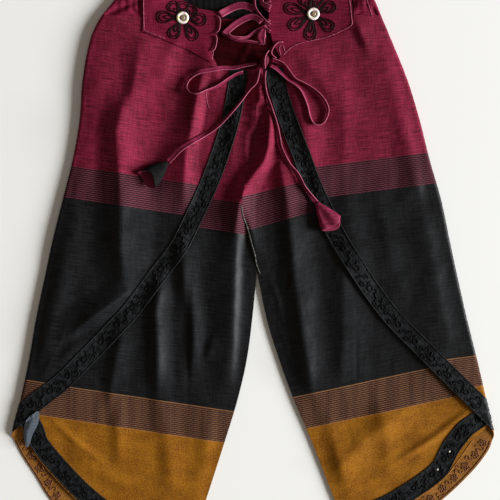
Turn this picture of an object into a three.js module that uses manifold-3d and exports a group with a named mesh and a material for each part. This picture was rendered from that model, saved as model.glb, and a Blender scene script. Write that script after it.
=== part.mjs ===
// A pair of wrap salwar trousers, laid flat and face up, as cut and sewn cloth.
// Each leg has two panels. The wrap panel is cut in one: it lies under the leg as its back, turns over at the
// outer fold and comes across the front as a petal. The front panel lies between, sewn to it at the inseam.
// A woven trim runs along each petal's free edge and each curved hem. Two flat waistband panels close the
// front with a laced opening, and gathered elastic casings join them to the back waistband.
// Units are millimetres. +Z is up from the surface, +Y runs to the waist and +X to the viewer's right.
// The origin is on the surface, under the middle of the whole garment.

import * as THREE from "three";
import { mergeVertices, toCreasedNormals } from "three/addons/utils/BufferGeometryUtils.js";
import Module from "manifold-3d";

const wasm = await Module();
wasm.setup();

// Driving dimensions
const HALF_WIDTH = 313;
const HALF_LENGTH = 386;
const CLOTH = 1.2;
const GAP = 0.3;
const TRIM_WIDTH = 24;
const TRIM_CLOTH = 1.0;
const WAISTBAND_CLOTH = 1.5;
const CORNER_Y = -212;
const CROTCH_Y = 0;
const PANEL_TOP_Y = 332;
const FRONT_TOP_Y = 306;
const PLACKET_TOP_Y = 326;
const PLACKET_LOW_Y = 262.8;
const LEFT_SEAM_X = -143;
const RIGHT_SEAM_X = 130;
const CASING_TOP_Y = 382;
const CASING_CLOTH = 2.6;
const CASING_GATHERS = 4;
const CASING_RIPPLE = 1.2;
const SEAM_OVERLAP = 8;
const BRAID_WIDTH = 2.6;
const BRAID_HEIGHT = 1.8;
const BRAID_SIDES = 5;
const BUTTON_RADIUS = 8;
const BUTTON_HEIGHT = 2.6;
const LACE_HEIGHT = 2;
const LACE_STEP = 6;
const CORD_STEP = 11;
const CORD_SIDES = 8;
const BUD_CLOTH = 1.3;
const BUD_SIDES = 12;
const COLUMNS = 20;
const FOLD_STEPS = 4;
const LIE_FLAT = CLOTH * 3 + GAP * 2;
const CUT_LEVEL = CLOTH + GAP / 2;
const PLACKET_LEVEL = CLOTH * 2 + GAP * 2;
const FAR = 500;
const CREASE_ANGLE = 0.6;

// Heights of the lattice rows: the hem, the outer corner, the crotch and the waist each fall on a row
const ROW_SPANS = [
  { from: -HALF_LENGTH, to: CORNER_Y, steps: 6 },
  { from: CORNER_Y, to: CROTCH_Y, steps: 7 },
  { from: CROTCH_Y, to: HALF_LENGTH, steps: 13 },
];

// Sections of each half, from the waist down. outer is the outer fold, and loft the thickness of the
// flattened tube of cloth at that fold.
const LEFT_SECTIONS = [
  { y: 386, outer: -163, loft: 8.5 },
  { y: 354, outer: -179, loft: 9 },
  { y: 328, outer: -199, loft: 9 },
  { y: 302, outer: -211, loft: 9 },
  { y: 250, outer: -221, loft: 8.5 },
  { y: 198, outer: -225, loft: 8 },
  { y: 146, outer: -234, loft: 7 },
  { y: 94, outer: -247, loft: 7 },
  { y: 42, outer: -260, loft: 7 },
  { y: 0, outer: -269, loft: 6 },
  { y: -62, outer: -282, loft: 6 },
  { y: -114, outer: -291, loft: 6 },
  { y: -166, outer: -302, loft: 6 },
  { y: -212, outer: -313, loft: 5 },
  { y: -296, outer: -313, loft: 5 },
  { y: -386, outer: -313, loft: 5 },
];
const RIGHT_SECTIONS = [
  { y: 386, outer: 140, loft: 8 },
  { y: 354, outer: 157, loft: 8.5 },
  { y: 328, outer: 168, loft: 8.5 },
  { y: 302, outer: 179, loft: 8.5 },
  { y: 250, outer: 200, loft: 8 },
  { y: 198, outer: 216, loft: 8 },
  { y: 146, outer: 229, loft: 8 },
  { y: 94, outer: 244, loft: 7 },
  { y: 42, outer: 255, loft: 7 },
  { y: 0, outer: 264, loft: 6 },
  { y: -62, outer: 278, loft: 6 },
  { y: -114, outer: 291, loft: 6 },
  { y: -166, outer: 303, loft: 6 },
  { y: -212, outer: 313, loft: 5 },
  { y: -296, outer: 313, loft: 5 },
  { y: -386, outer: 313, loft: 5 },
];

// The seam down the centre to the crotch, which both halves share, and each leg's inseam below it
const CENTRE_SEAM = [
  { y: 386, x: 5 },
  { y: 354, x: 5 },
  { y: 328, x: 5 },
  { y: 302, x: 5 },
  { y: 250, x: 5 },
  { y: 198, x: 3 },
  { y: 146, x: -1 },
  { y: 94, x: -14 },
  { y: 42, x: -5 },
  { y: 0, x: 5 },
];
const LEFT_INSEAM = [
  { y: 0, x: 5 },
  { y: -62, x: -1 },
  { y: -114, x: -8 },
  { y: -166, x: -20 },
  { y: -212, x: -34 },
  { y: -296, x: -61 },
  { y: -386, x: -91 },
];
const RIGHT_INSEAM = [
  { y: 0, x: 5 },
  { y: -62, x: 18 },
  { y: -114, x: 34 },
  { y: -166, x: 53 },
  { y: -212, x: 73 },
  { y: -296, x: 106 },
  { y: -386, x: 141 },
];

// Free edge of each petal, from the waistband at the centre to the outer corner
const LEFT_PETAL_EDGE = [
  { x: -5, y: 285 },
  { x: -9, y: 239 },
  { x: -17, y: 196 },
  { x: -30, y: 152 },
  { x: -47, y: 107 },
  { x: -65, y: 68 },
  { x: -85, y: 28 },
  { x: -113, y: -10 },
  { x: -147, y: -55 },
  { x: -176, y: -87 },
  { x: -213, y: -125 },
  { x: -238, y: -150 },
  { x: -274, y: -178 },
  { x: -318, y: -212 },
];
const RIGHT_PETAL_EDGE = [
  { x: 10, y: 285 },
  { x: 22, y: 229 },
  { x: 36, y: 187 },
  { x: 51, y: 148 },
  { x: 65, y: 110 },
  { x: 84, y: 70 },
  { x: 100, y: 38 },
  { x: 129, y: -9 },
  { x: 162, y: -55 },
  { x: 187, y: -83 },
  { x: 212, y: -108 },
  { x: 254, y: -150 },
  { x: 286, y: -181 },
  { x: 318, y: -212 },
];

// Curved hem of each front panel, from its outer side to the inseam
const LEFT_FRONT_HEM = [
  { x: -322, y: -180 },
  { x: -298, y: -205 },
  { x: -289, y: -228 },
  { x: -269, y: -254 },
  { x: -247, y: -278 },
  { x: -229, y: -296 },
  { x: -199, y: -320 },
  { x: -153, y: -344 },
  { x: -108, y: -357 },
  { x: -60, y: -363 },
];
const RIGHT_FRONT_HEM = [
  { x: 322, y: -185 },
  { x: 295, y: -209 },
  { x: 286, y: -218 },
  { x: 270, y: -240 },
  { x: 247, y: -269 },
  { x: 210, y: -296 },
  { x: 172, y: -317 },
  { x: 126, y: -331 },
  { x: 90, y: -338 },
];

// Curved hem of each wrap panel where it lies under the leg, from the outer corner to the inseam
const LEFT_WRAP_HEM = [
  { x: -324, y: -196 },
  { x: -313, y: -213 },
  { x: -300, y: -238 },
  { x: -283, y: -264 },
  { x: -263, y: -296 },
  { x: -231, y: -331 },
  { x: -192, y: -359 },
  { x: -140, y: -376 },
  { x: -91, y: -383 },
  { x: -40, y: -385 },
];
const RIGHT_WRAP_HEM = [
  { x: 324, y: -196 },
  { x: 313, y: -213 },
  { x: 305, y: -233 },
  { x: 282, y: -262 },
  { x: 246, y: -296 },
  { x: 211, y: -321 },
  { x: 165, y: -343 },
  { x: 120, y: -355 },
  { x: 80, y: -360 },
];

// Soft folds as ridges: each runs from one point to another, with its half width and its height
const LEFT_PETAL_FOLDS = [
  { x1: -136, y1: 295, x2: -147, y2: 139, width: 15, height: 5 },
  { x1: -153, y1: 107, x2: -162, y2: -17, width: 15, height: 4.5 },
  { x1: -65, y1: 230, x2: -82, y2: 120, width: 11, height: 4.5 },
  { x1: -201, y1: 276, x2: -216, y2: 146, width: 14, height: 4 },
  { x1: -108, y1: 280, x2: -110, y2: 158, width: 12, height: 3 },
  { x1: -153, y1: -27, x2: -225, y2: -73, width: 12, height: 4.5 },
  { x1: -231, y1: -17, x2: -264, y2: -101, width: 12, height: 4 },
];
const RIGHT_PETAL_FOLDS = [
  { x1: 112, y1: 276, x2: 104, y2: 159, width: 15, height: 3.5 },
  { x1: 168, y1: 263, x2: 196, y2: 120, width: 15, height: 4 },
  { x1: 146, y1: 107, x2: 165, y2: -36, width: 16, height: 3.5 },
  { x1: 220, y1: 94, x2: 250, y2: -62, width: 14, height: 3.5 },
  { x1: 140, y1: 338, x2: 158, y2: 290, width: 11, height: 3.5 },
];
const FRONT_FOLDS = [
  { x1: -113, y1: -36, x2: -105, y2: -166, width: 12, height: 5.5 },
  { x1: -70, y1: -30, x2: -62, y2: -173, width: 12, height: 5.5 },
  { x1: -20, y1: 48, x2: -12, y2: -75, width: 11, height: 5 },
  { x1: -169, y1: -95, x2: -179, y2: -166, width: 12, height: 4 },
  { x1: -231, y1: -231, x2: -173, y2: -270, width: 14, height: 3 },
  { x1: -121, y1: -218, x2: -108, y2: -283, width: 14, height: 3 },
  { x1: 17, y1: 224, x2: 20, y2: 100, width: 10, height: 8 },
  { x1: -6, y1: 175, x2: -14, y2: 112, width: 10, height: 5 },
  { x1: 52, y1: 126, x2: 65, y2: -75, width: 12, height: 5.5 },
  { x1: 126, y1: -17, x2: 129, y2: -95, width: 14, height: 3.5 },
  { x1: 107, y1: -270, x2: 139, y2: -218, width: 13, height: 4 },
  { x1: 139, y1: -218, x2: 211, y2: -192, width: 13, height: 4 },
];

// Front waistband panels, each outline running round from its lower outer corner
const LEFT_WAISTBAND = [
  { x: -143, y: 311 },
  { x: -114, y: 300 },
  { x: -82, y: 287 },
  { x: -54, y: 271 },
  { x: -44, y: 328 },
  { x: -40, y: 336 },
  { x: -70, y: 341 },
  { x: -85, y: 350 },
  { x: -108, y: 358 },
  { x: -142, y: 370 },
];
const RIGHT_WAISTBAND = [
  { x: 130, y: 315 },
  { x: 100, y: 303 },
  { x: 65, y: 294 },
  { x: 50, y: 288 },
  { x: 36, y: 277 },
  { x: 26, y: 296 },
  { x: 20, y: 322 },
  { x: 22, y: 353 },
  { x: 70, y: 363 },
  { x: 126, y: 374 },
];

// The part of each petal that is cut away at the top. Its lower edge is hidden under the waistband panel.
const LEFT_PETAL_TOP = [
  { x: -143, y: 450 },
  { x: -143, y: 319 },
  { x: -114, y: 308 },
  { x: -82, y: 295 },
  { x: -52, y: 279 },
  { x: -44, y: 262.5 },
  { x: 40, y: 262.5 },
  { x: 40, y: 450 },
];
const RIGHT_PETAL_TOP = [
  { x: 130, y: 450 },
  { x: 130, y: 323 },
  { x: 100, y: 311 },
  { x: 65, y: 302 },
  { x: 38, y: 285 },
  { x: 28, y: 262.5 },
  { x: -40, y: 262.5 },
  { x: -40, y: 450 },
];

// The underlap behind the laced opening, and the back waistband with its slightly hollow top edge
const PLACKET = [
  { x: -43.6, y: PLACKET_LOW_Y },
  { x: 27.4, y: PLACKET_LOW_Y },
  { x: 36, y: 286 },
  { x: 36, y: PLACKET_TOP_Y },
  { x: -50, y: PLACKET_TOP_Y },
  { x: -51.8, y: 280 },
];
const BACK_WAISTBAND = [
  { x: LEFT_SEAM_X + GAP, y: PANEL_TOP_Y + GAP },
  { x: RIGHT_SEAM_X - GAP, y: PANEL_TOP_Y + GAP },
  { x: RIGHT_SEAM_X - GAP, y: 382 },
  { x: 90, y: 383 },
  { x: 30, y: 380 },
  { x: -40, y: 379 },
  { x: -100, y: 381 },
  { x: LEFT_SEAM_X + GAP, y: 382 },
];

// Appliqued braid flowers: the direction of each petal in degrees and how far it reaches
const LEFT_FLOWER = {
  x: -91,
  y: 329,
  petals: [
    { angle: 178, reach: 33 },
    { angle: 241, reach: 30 },
    { angle: 301, reach: 33 },
    { angle: 355, reach: 31 },
    { angle: 42, reach: 22 },
    { angle: 86, reach: 21 },
    { angle: 130, reach: 25 },
  ],
};
const RIGHT_FLOWER = {
  x: 78,
  y: 334,
  petals: [
    { angle: 166, reach: 38 },
    { angle: 210, reach: 36 },
    { angle: 262, reach: 34 },
    { angle: 322, reach: 33 },
    { angle: 22, reach: 31 },
    { angle: 72, reach: 27 },
    { angle: 120, reach: 27 },
  ],
};

// Outline of one braid petal: how far along its reach, and how wide there
const BRAID_PETAL = [
  { along: 0, width: 4.4 },
  { along: 0.3, width: 9 },
  { along: 0.62, width: 14 },
  { along: 0.88, width: 10 },
  { along: 1, width: 0 },
];
const BRAID_INNER_RADIUS = 10.5;

// Loops of wine tape at the edges of the opening, and the tape that is laced through them
const LACING = [
  { name: "lace_loop_left_1", width: 4, points: [{ x: -48, y: 331 }, { x: -38, y: 322 }, { x: -47, y: 312 }] },
  { name: "lace_loop_left_2", width: 4, points: [{ x: -54, y: 303 }, { x: -43, y: 296 }, { x: -56, y: 286 }] },
  { name: "lace_loop_right_1", width: 4, points: [{ x: 25, y: 350 }, { x: 13, y: 344 }, { x: 25, y: 338 }] },
  { name: "lace_loop_right_2", width: 4, points: [{ x: 24, y: 325 }, { x: 13, y: 320 }, { x: 24, y: 314 }] },
  { name: "lace_loop_right_3", width: 4, points: [{ x: 34, y: 295 }, { x: 22, y: 288 }, { x: 36, y: 279 }] },
  {
    name: "lace_run_top",
    width: 9,
    points: [{ x: -43, y: 333 }, { x: -27, y: 343 }, { x: -13, y: 346 }, { x: 2, y: 341 }],
  },
  { name: "lace_run_short", width: 6, points: [{ x: 12, y: 358 }, { x: 12, y: 348 }, { x: 23, y: 342 }] },
  {
    name: "lace_run_side",
    width: 5,
    points: [{ x: 2, y: 356 }, { x: 3, y: 344 }, { x: 9, y: 334 }, { x: 16, y: 324 }, { x: 22, y: 319 }],
  },
  {
    name: "lace_run_cross",
    width: 8,
    points: [{ x: -38, y: 308 }, { x: -20, y: 323 }, { x: -1, y: 331 }, { x: 11, y: 323 }],
  },
  {
    name: "lace_run_low",
    width: 4,
    points: [{ x: -40, y: 310 }, { x: -22, y: 301 }, { x: -5, y: 299 }, { x: 11, y: 296 }],
  },
  {
    name: "lace_run_middle",
    width: 4,
    points: [{ x: -32, y: 308 }, { x: -26, y: 304 }, { x: -9, y: 304 }, { x: 4, y: 313 }, { x: 17, y: 318 }],
  },
  { name: "lace_run_bulge", width: 10, points: [{ x: 14, y: 314 }, { x: 11, y: 304 }, { x: 14, y: 294 }] },
];
const KNOT = { x: 15, y: 272, halfWidth: 8, halfLength: 10, halfHeight: 3.4 };

// Free cords of folded tape: each tail from the knot to its bud, and each loop of the bow out from the
// knot and back
const FREE_CORDS = [
  {
    name: "bow_loop_left",
    width: 5,
    height: 2.8,
    points: [
      { x: 5, y: 269 },
      { x: -10, y: 267 },
      { x: -25, y: 264 },
      { x: -39, y: 264 },
      { x: -56, y: 261 },
      { x: -70, y: 258 },
      { x: -80, y: 250 },
      { x: -85, y: 240 },
      { x: -81, y: 232 },
      { x: -71, y: 230 },
      { x: -60, y: 235 },
      { x: -46, y: 241 },
      { x: -34, y: 249 },
      { x: -23, y: 256 },
      { x: -13, y: 259 },
    ],
  },
  {
    name: "bow_loop_right",
    width: 4.4,
    height: 2.8,
    points: [
      { x: 24, y: 275 },
      { x: 38, y: 270 },
      { x: 47, y: 260 },
      { x: 55, y: 250 },
      { x: 65, y: 245 },
      { x: 80, y: 236 },
      { x: 92, y: 224 },
      { x: 98, y: 209 },
      { x: 92, y: 193 },
      { x: 81, y: 190 },
      { x: 74, y: 199 },
      { x: 70, y: 216 },
      { x: 63, y: 233 },
      { x: 55, y: 242 },
      { x: 46, y: 248 },
      { x: 38, y: 255 },
      { x: 29, y: 263 },
      { x: 22, y: 267 },
    ],
  },
  {
    name: "lace_tail_left",
    width: 6,
    height: 3,
    points: [
      { x: 9, y: 261 },
      { x: 7, y: 251 },
      { x: 4, y: 243 },
      { x: -5, y: 234 },
      { x: -17, y: 218 },
      { x: -32, y: 201 },
      { x: -47, y: 187 },
      { x: -66, y: 175 },
      { x: -91, y: 160 },
      { x: -101, y: 151 },
      { x: -110, y: 142 },
    ],
  },
  {
    name: "lace_tail_right",
    width: 6,
    height: 3,
    points: [
      { x: 16, y: 260 },
      { x: 15, y: 250 },
      { x: 18, y: 231 },
      { x: 24, y: 214 },
      { x: 29, y: 198 },
      { x: 33, y: 179 },
      { x: 38, y: 159 },
      { x: 47, y: 139 },
      { x: 58, y: 126 },
      { x: 69, y: 107 },
      { x: 82, y: 90 },
    ],
  },
];

// A bud of folded cloth at the end of each tail: where its stem is and where its mouth points
const BUDS = [
  { name: "lace_bud_left", x: -110.5, y: 141.6, tipX: -140, tipY: 116 },
  { name: "lace_bud_right", x: 82.4, y: 89.5, tipX: 106, tipY: 55 },
];
const BUD_SECTIONS = [
  { along: 0, halfWidth: 3.2, halfHeight: 2.4 },
  { along: 0.25, halfWidth: 7.5, halfHeight: 4.2 },
  { along: 0.6, halfWidth: 12.5, halfHeight: 5.4 },
  { along: 1, halfWidth: 14.5, halfHeight: 5.8 },
];

const smooth = (t) => {
  const s = Math.min(1, Math.max(0, t));
  return s * s * (3 - 2 * s);
};
const mix = (a, b, t) => a + (b - a) * t;

// A value from a table of sections at height y, on a smooth curve through its rows
function sectionValue(sections, key, y) {
  const last = sections.length - 1;
  let k = 0;
  while (k < last - 1 && sections[k + 1].y > y) k += 1;
  const [a, b] = [sections[k], sections[k + 1]];
  const span = b.y - a.y;
  const before = sections[Math.max(0, k - 1)];
  const after = sections[Math.min(last, k + 2)];
  const slopeA = k === 0 ? (b[key] - a[key]) / span : (b[key] - before[key]) / (b.y - before.y);
  const slopeB = k + 1 === last ? (b[key] - a[key]) / span : (after[key] - a[key]) / (after.y - a.y);
  const t = Math.min(1, Math.max(0, (y - a.y) / span));
  const [t2, t3] = [t * t, t * t * t];
  return (
    (2 * t3 - 3 * t2 + 1) * a[key] +
    (t3 - 2 * t2 + t) * span * slopeA +
    (-2 * t3 + 3 * t2) * b[key] +
    (t3 - t2) * span * slopeB
  );
}

// Height that a table of folds adds at a point
function foldHeight(folds, x, y) {
  let sum = 0;
  for (const fold of folds) {
    const [dx, dy] = [fold.x2 - fold.x1, fold.y2 - fold.y1];
    const length = Math.hypot(dx, dy);
    const along = ((x - fold.x1) * dx + (y - fold.y1) * dy) / length;
    const across = Math.abs((x - fold.x1) * dy - (y - fold.y1) * dx) / length;
    const fadeIn = smooth((along + length * 0.25) / (length * 0.5));
    const fade = fadeIn * smooth((length * 1.25 - along) / (length * 0.5));
    sum += fold.height * fade * Math.exp(-((across / fold.width) ** 2));
  }
  return sum;
}

const rowHeights = [ROW_SPANS[0].from];
for (const span of ROW_SPANS)
  for (let k = 1; k <= span.steps; k += 1) rowHeights.push(mix(span.from, span.to, k / span.steps));

// The lattice of one half: plan positions and the heights of its stacked layers of cloth.
// All the cloth of a half is cut from layers on this one lattice, so no layer can cross the next.
function makeHalf(sign, sections, inseam, petalFolds) {
  const rows = rowHeights.map((y) => {
    const loft = sectionValue(sections, "loft", y);
    const inner = sectionValue(y < CROTCH_Y ? inseam : CENTRE_SEAM, "x", y) + (sign * GAP) / 2;
    const outer = sectionValue(sections, "outer", y) - (sign * loft) / 2;
    const nodes = [];
    for (let i = 0; i <= COLUMNS; i += 1) {
      const u = i / COLUMNS;
      const x = mix(inner, outer, u);
      const fromInner = Math.abs(x - inner);
      const fromOuter = Math.abs(outer - x);
      const seam = mix(smooth(fromInner / 30), 1, smooth((y + 10) / 60));
      const edge = smooth(fromOuter / 28);
      const spread = (loft - LIE_FLAT) * smooth((u - 0.45) / 0.5);
      const frontBottom = CLOTH + GAP + foldHeight(FRONT_FOLDS, x, y) * seam * edge + spread / 2;
      const frontTop = frontBottom + CLOTH;
      const petalBottom = frontTop + GAP + foldHeight(petalFolds, x, y) * edge + spread / 2;
      const petalTop = petalBottom + CLOTH;
      nodes.push({ x, frontBottom, frontTop, petalBottom, petalTop });
    }
    return { y, loft, nodes };
  });
  return { sign, rows };
}

const leftHalf = makeHalf(-1, LEFT_SECTIONS, LEFT_INSEAM, LEFT_PETAL_FOLDS);
const rightHalf = makeHalf(1, RIGHT_SECTIONS, RIGHT_INSEAM, RIGHT_PETAL_FOLDS);

// A closed solid from points and triangles, turned round if its faces point inwards
function solidFrom(positions, triangles) {
  const build = (faces) => {
    const mesh = new wasm.Mesh({
      numProp: 3,
      vertProperties: new Float32Array(positions.flat()),
      triVerts: new Uint32Array(faces.flat()),
    });
    return new wasm.Manifold(mesh);
  };
  const made = build(triangles);
  return made.volume() > 0 ? made : build(triangles.map(([a, b, c]) => [a, c, b]));
}

// A closed solid from a three.js geometry
function solidOf(geometry) {
  const bare = geometry.clone();
  bare.deleteAttribute("normal");
  bare.deleteAttribute("uv");
  const merged = mergeVertices(bare, 1e-4);
  const mesh = new wasm.Mesh({
    numProp: 3,
    vertProperties: merged.attributes.position.array,
    triVerts: new Uint32Array(merged.index.array),
  });
  return new wasm.Manifold(mesh);
}

function geometryOf(solid) {
  const { vertProperties, triVerts } = solid.getMesh();
  const geometry = new THREE.BufferGeometry();
  geometry.setAttribute("position", new THREE.BufferAttribute(new Float32Array(vertProperties), 3));
  geometry.setIndex(new THREE.BufferAttribute(new Uint32Array(triVerts), 1));
  return toCreasedNormals(geometry, CREASE_ANGLE);
}

// A smooth plan curve through points
function curveThrough(points, divisions) {
  const curve = new THREE.SplineCurve(points.map((p) => new THREE.Vector2(p.x, p.y)));
  return curve.getSpacedPoints(divisions);
}

// A plan curve moved sideways, to the left of its own direction for a positive distance
function offsetCurve(points, distance) {
  return points.map((p, k) => {
    const before = points[Math.max(0, k - 1)];
    const after = points[Math.min(points.length - 1, k + 1)];
    const direction = new THREE.Vector2().subVectors(after, before).normalize();
    return new THREE.Vector2(p.x - direction.y * distance, p.y + direction.x * distance);
  });
}

// An upright prism over a plan outline, between two levels
function prism(outline, low = -10, high = 60) {
  const shape = new THREE.Shape(outline.map((p) => new THREE.Vector2(p.x, p.y)));
  const geometry = new THREE.ExtrudeGeometry(shape, { depth: high - low, bevelEnabled: false });
  return solidOf(geometry.translate(0, 0, low));
}

// A layer of cloth over one half's whole lattice, with its underside at heights given by level
function layer(half, level, thickness) {
  const positions = [];
  const triangles = [];
  const perRow = COLUMNS + 1;
  const count = half.rows.length * perRow;
  for (const rise of [0, thickness])
    for (const { y, nodes } of half.rows)
      for (const node of nodes) positions.push([node.x, y, level(node) + rise]);
  const at = (i, j) => j * perRow + i;
  for (let j = 0; j + 1 < half.rows.length; j += 1)
    for (let i = 0; i < COLUMNS; i += 1) {
      const [a, b, c, d] = [at(i, j), at(i + 1, j), at(i + 1, j + 1), at(i, j + 1)];
      triangles.push([a, c, b], [a, d, c]);
      triangles.push([a + count, b + count, c + count], [a + count, c + count, d + count]);
    }
  const rim = [];
  const top = half.rows.length - 1;
  for (let i = 0; i < COLUMNS; i += 1) rim.push(at(i, 0));
  for (let j = 0; j < top; j += 1) rim.push(at(COLUMNS, j));
  for (let i = COLUMNS; i > 0; i -= 1) rim.push(at(i, top));
  for (let j = top; j > 0; j -= 1) rim.push(at(0, j));
  rim.forEach((a, k) => {
    const b = rim[(k + 1) % rim.length];
    triangles.push([a, b, b + count], [a, b + count, a + count]);
  });
  return solidFrom(positions, triangles);
}

// The wrap panel of one half before its edges are cut: a C-shaped section at each row, with a flat lower
// arm on the surface, a round fold at the outer side and an upper arm across the front
function wrapTube(half) {
  const { sign } = half;
  const rings = half.rows.map((row) => {
    const inner = row.nodes[0];
    const outer = row.nodes[COLUMNS];
    const radius = row.loft / 2;
    const arc = (r, k) => {
      const angle = (Math.PI * k) / FOLD_STEPS - Math.PI / 2;
      return [outer.x + sign * r * Math.cos(angle), radius + r * Math.sin(angle)];
    };
    const outside = [[inner.x, 0]];
    const inside = [[inner.x, CLOTH]];
    for (let k = 0; k <= FOLD_STEPS; k += 1) {
      outside.push(arc(radius, k));
      inside.push(arc(radius - CLOTH, k));
    }
    for (let i = COLUMNS - 1; i >= 0; i -= 1) {
      outside.push([row.nodes[i].x, row.nodes[i].petalTop]);
      inside.push([row.nodes[i].x, row.nodes[i].petalBottom]);
    }
    return [...outside, ...inside.reverse()].map(([x, z]) => [x, row.y, z]);
  });
  return loftRings(rings, rings[0].length / 2);
}

// A closed solid through rings of equal numbers of points. A section that doubles back has its second
// half split along the other diagonal, so that both faces of a wall follow the same creases.
function loftRings(rings, half = 0) {
  const size = rings[0].length;
  const triangles = [];
  for (let j = 0; j + 1 < rings.length; j += 1)
    for (let i = 0; i < size; i += 1) {
      const [a, b] = [j * size + i, j * size + ((i + 1) % size)];
      if (i < half) triangles.push([a, b, a + size], [b, b + size, a + size]);
      else triangles.push([a, b, b + size], [a, b + size, a + size]);
    }
  capRing(rings[0], 0, false, triangles);
  capRing(rings[rings.length - 1], (rings.length - 1) * size, true, triangles);
  return solidFrom(rings.flat(), triangles);
}

// Faces that close one end of a loft, worked out in the plane of that ring
function capRing(ring, start, isLast, triangles) {
  const points = ring.map((p) => new THREE.Vector3(...p));
  const normal = new THREE.Vector3();
  points.forEach((p, k) => {
    const q = points[(k + 1) % points.length];
    normal.add(new THREE.Vector3().crossVectors(p, q));
  });
  const right = new THREE.Vector3().crossVectors(new THREE.Vector3(0, 0, 1), normal).normalize();
  const up = new THREE.Vector3().crossVectors(normal, right).normalize();
  const flat = points.map((p) => new THREE.Vector2(p.dot(right), p.dot(up)));
  for (const [a, b, c] of THREE.ShapeUtils.triangulateShape(flat, [])) {
    const face = [a + start, b + start, c + start];
    triangles.push(isLast ? face : face.reverse());
  }
}

// The plan outline between a free edge and its inner offset: the strip that a trim covers
function trimOutline(edge, side) {
  return [...edge, ...offsetCurve(edge, side * TRIM_WIDTH).reverse()];
}

// The region past a hem: everything outside its curve, down and to the outer side
function pastHem(sign, hem) {
  const last = hem[hem.length - 1];
  return [
    ...hem,
    { x: last.x - sign * 200, y: last.y },
    { x: last.x - sign * 200, y: -FAR },
    { x: sign * FAR, y: -FAR },
    { x: sign * FAR, y: hem[0].y },
  ];
}

// Everything on the waist side of a level line
function aboveLine(y) {
  return prism([{ x: -FAR, y }, { x: FAR, y }, { x: FAR, y: FAR }, { x: -FAR, y: FAR }]);
}

// All the cloth of one half
function makeLegCloth(half, tables) {
  const { sign } = half;
  const petalEdge = curveThrough(tables.petalEdge, 40);
  const frontHem = curveThrough(tables.frontHem, 24);
  const wrapHem = curveThrough(tables.wrapHem, 24);

  // Where the petal is cut away from the front: inside its free edge, and above its seam at the waist
  const first = petalEdge[0];
  const last = petalEdge[petalEdge.length - 1];
  const insidePetal = [
    ...petalEdge,
    { x: last.x + sign * 40, y: last.y - 10 },
    { x: last.x + sign * 40, y: -FAR },
    { x: -sign * 200, y: -FAR },
    { x: -sign * 200, y: first.y },
  ];
  const wrap = wrapTube(half)
    .subtract(prism(insidePetal, CUT_LEVEL))
    .subtract(prism(tables.petalTop, CUT_LEVEL))
    .subtract(prism(pastHem(sign, wrapHem)))
    .subtract(aboveLine(PANEL_TOP_Y));
  const front = layer(half, (n) => n.frontBottom, CLOTH)
    .subtract(prism(pastHem(sign, frontHem)))
    .subtract(aboveLine(FRONT_TOP_Y));

  // Each petal trim starts below the waistband panel, and each hem trim where the petal's edge covers it
  const bandLow = tables.petalTop.map((p) => ({ x: p.x, y: p.y - SEAM_OVERLAP - GAP }));
  const underPetal = [
    ...offsetCurve(petalEdge, -GAP * sign),
    { x: sign * FAR, y: CORNER_Y },
    { x: sign * FAR, y: first.y },
  ];
  const petalTrim = layer(half, (n) => n.petalTop + GAP, TRIM_CLOTH)
    .intersect(prism(trimOutline(petalEdge, sign)))
    .subtract(prism(bandLow));
  const hemTrim = layer(half, (n) => n.frontTop + GAP, TRIM_CLOTH)
    .intersect(prism(trimOutline(frontHem, -sign)))
    .subtract(prism(underPetal));
  const waistband = layer(half, (n) => n.petalTop + GAP, WAISTBAND_CLOTH).intersect(prism(tables.waistband));
  return { wrap, front, petalTrim, hemTrim, waistband };
}

const left = makeLegCloth(leftHalf, {
  petalEdge: LEFT_PETAL_EDGE,
  frontHem: LEFT_FRONT_HEM,
  wrapHem: LEFT_WRAP_HEM,
  petalTop: LEFT_PETAL_TOP,
  waistband: LEFT_WAISTBAND,
});
const right = makeLegCloth(rightHalf, {
  petalEdge: RIGHT_PETAL_EDGE,
  frontHem: RIGHT_FRONT_HEM,
  wrapHem: RIGHT_WRAP_HEM,
  petalTop: RIGHT_PETAL_TOP,
  waistband: RIGHT_WAISTBAND,
});

const garment = new THREE.Group();
const material = (color, roughness = 0.85, metalness = 0) =>
  new THREE.MeshStandardMaterial({ color, roughness, metalness });
const WINE = 0x7c2242;
const DARK_WINE = 0x35060f;
const BLACK = 0x1d1e20;
const PEARL = 0xd8d2c4;
const addSolid = (name, solid, look) => {
  const mesh = new THREE.Mesh(geometryOf(solid), look);
  mesh.name = name;
  garment.add(mesh);
};

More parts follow.
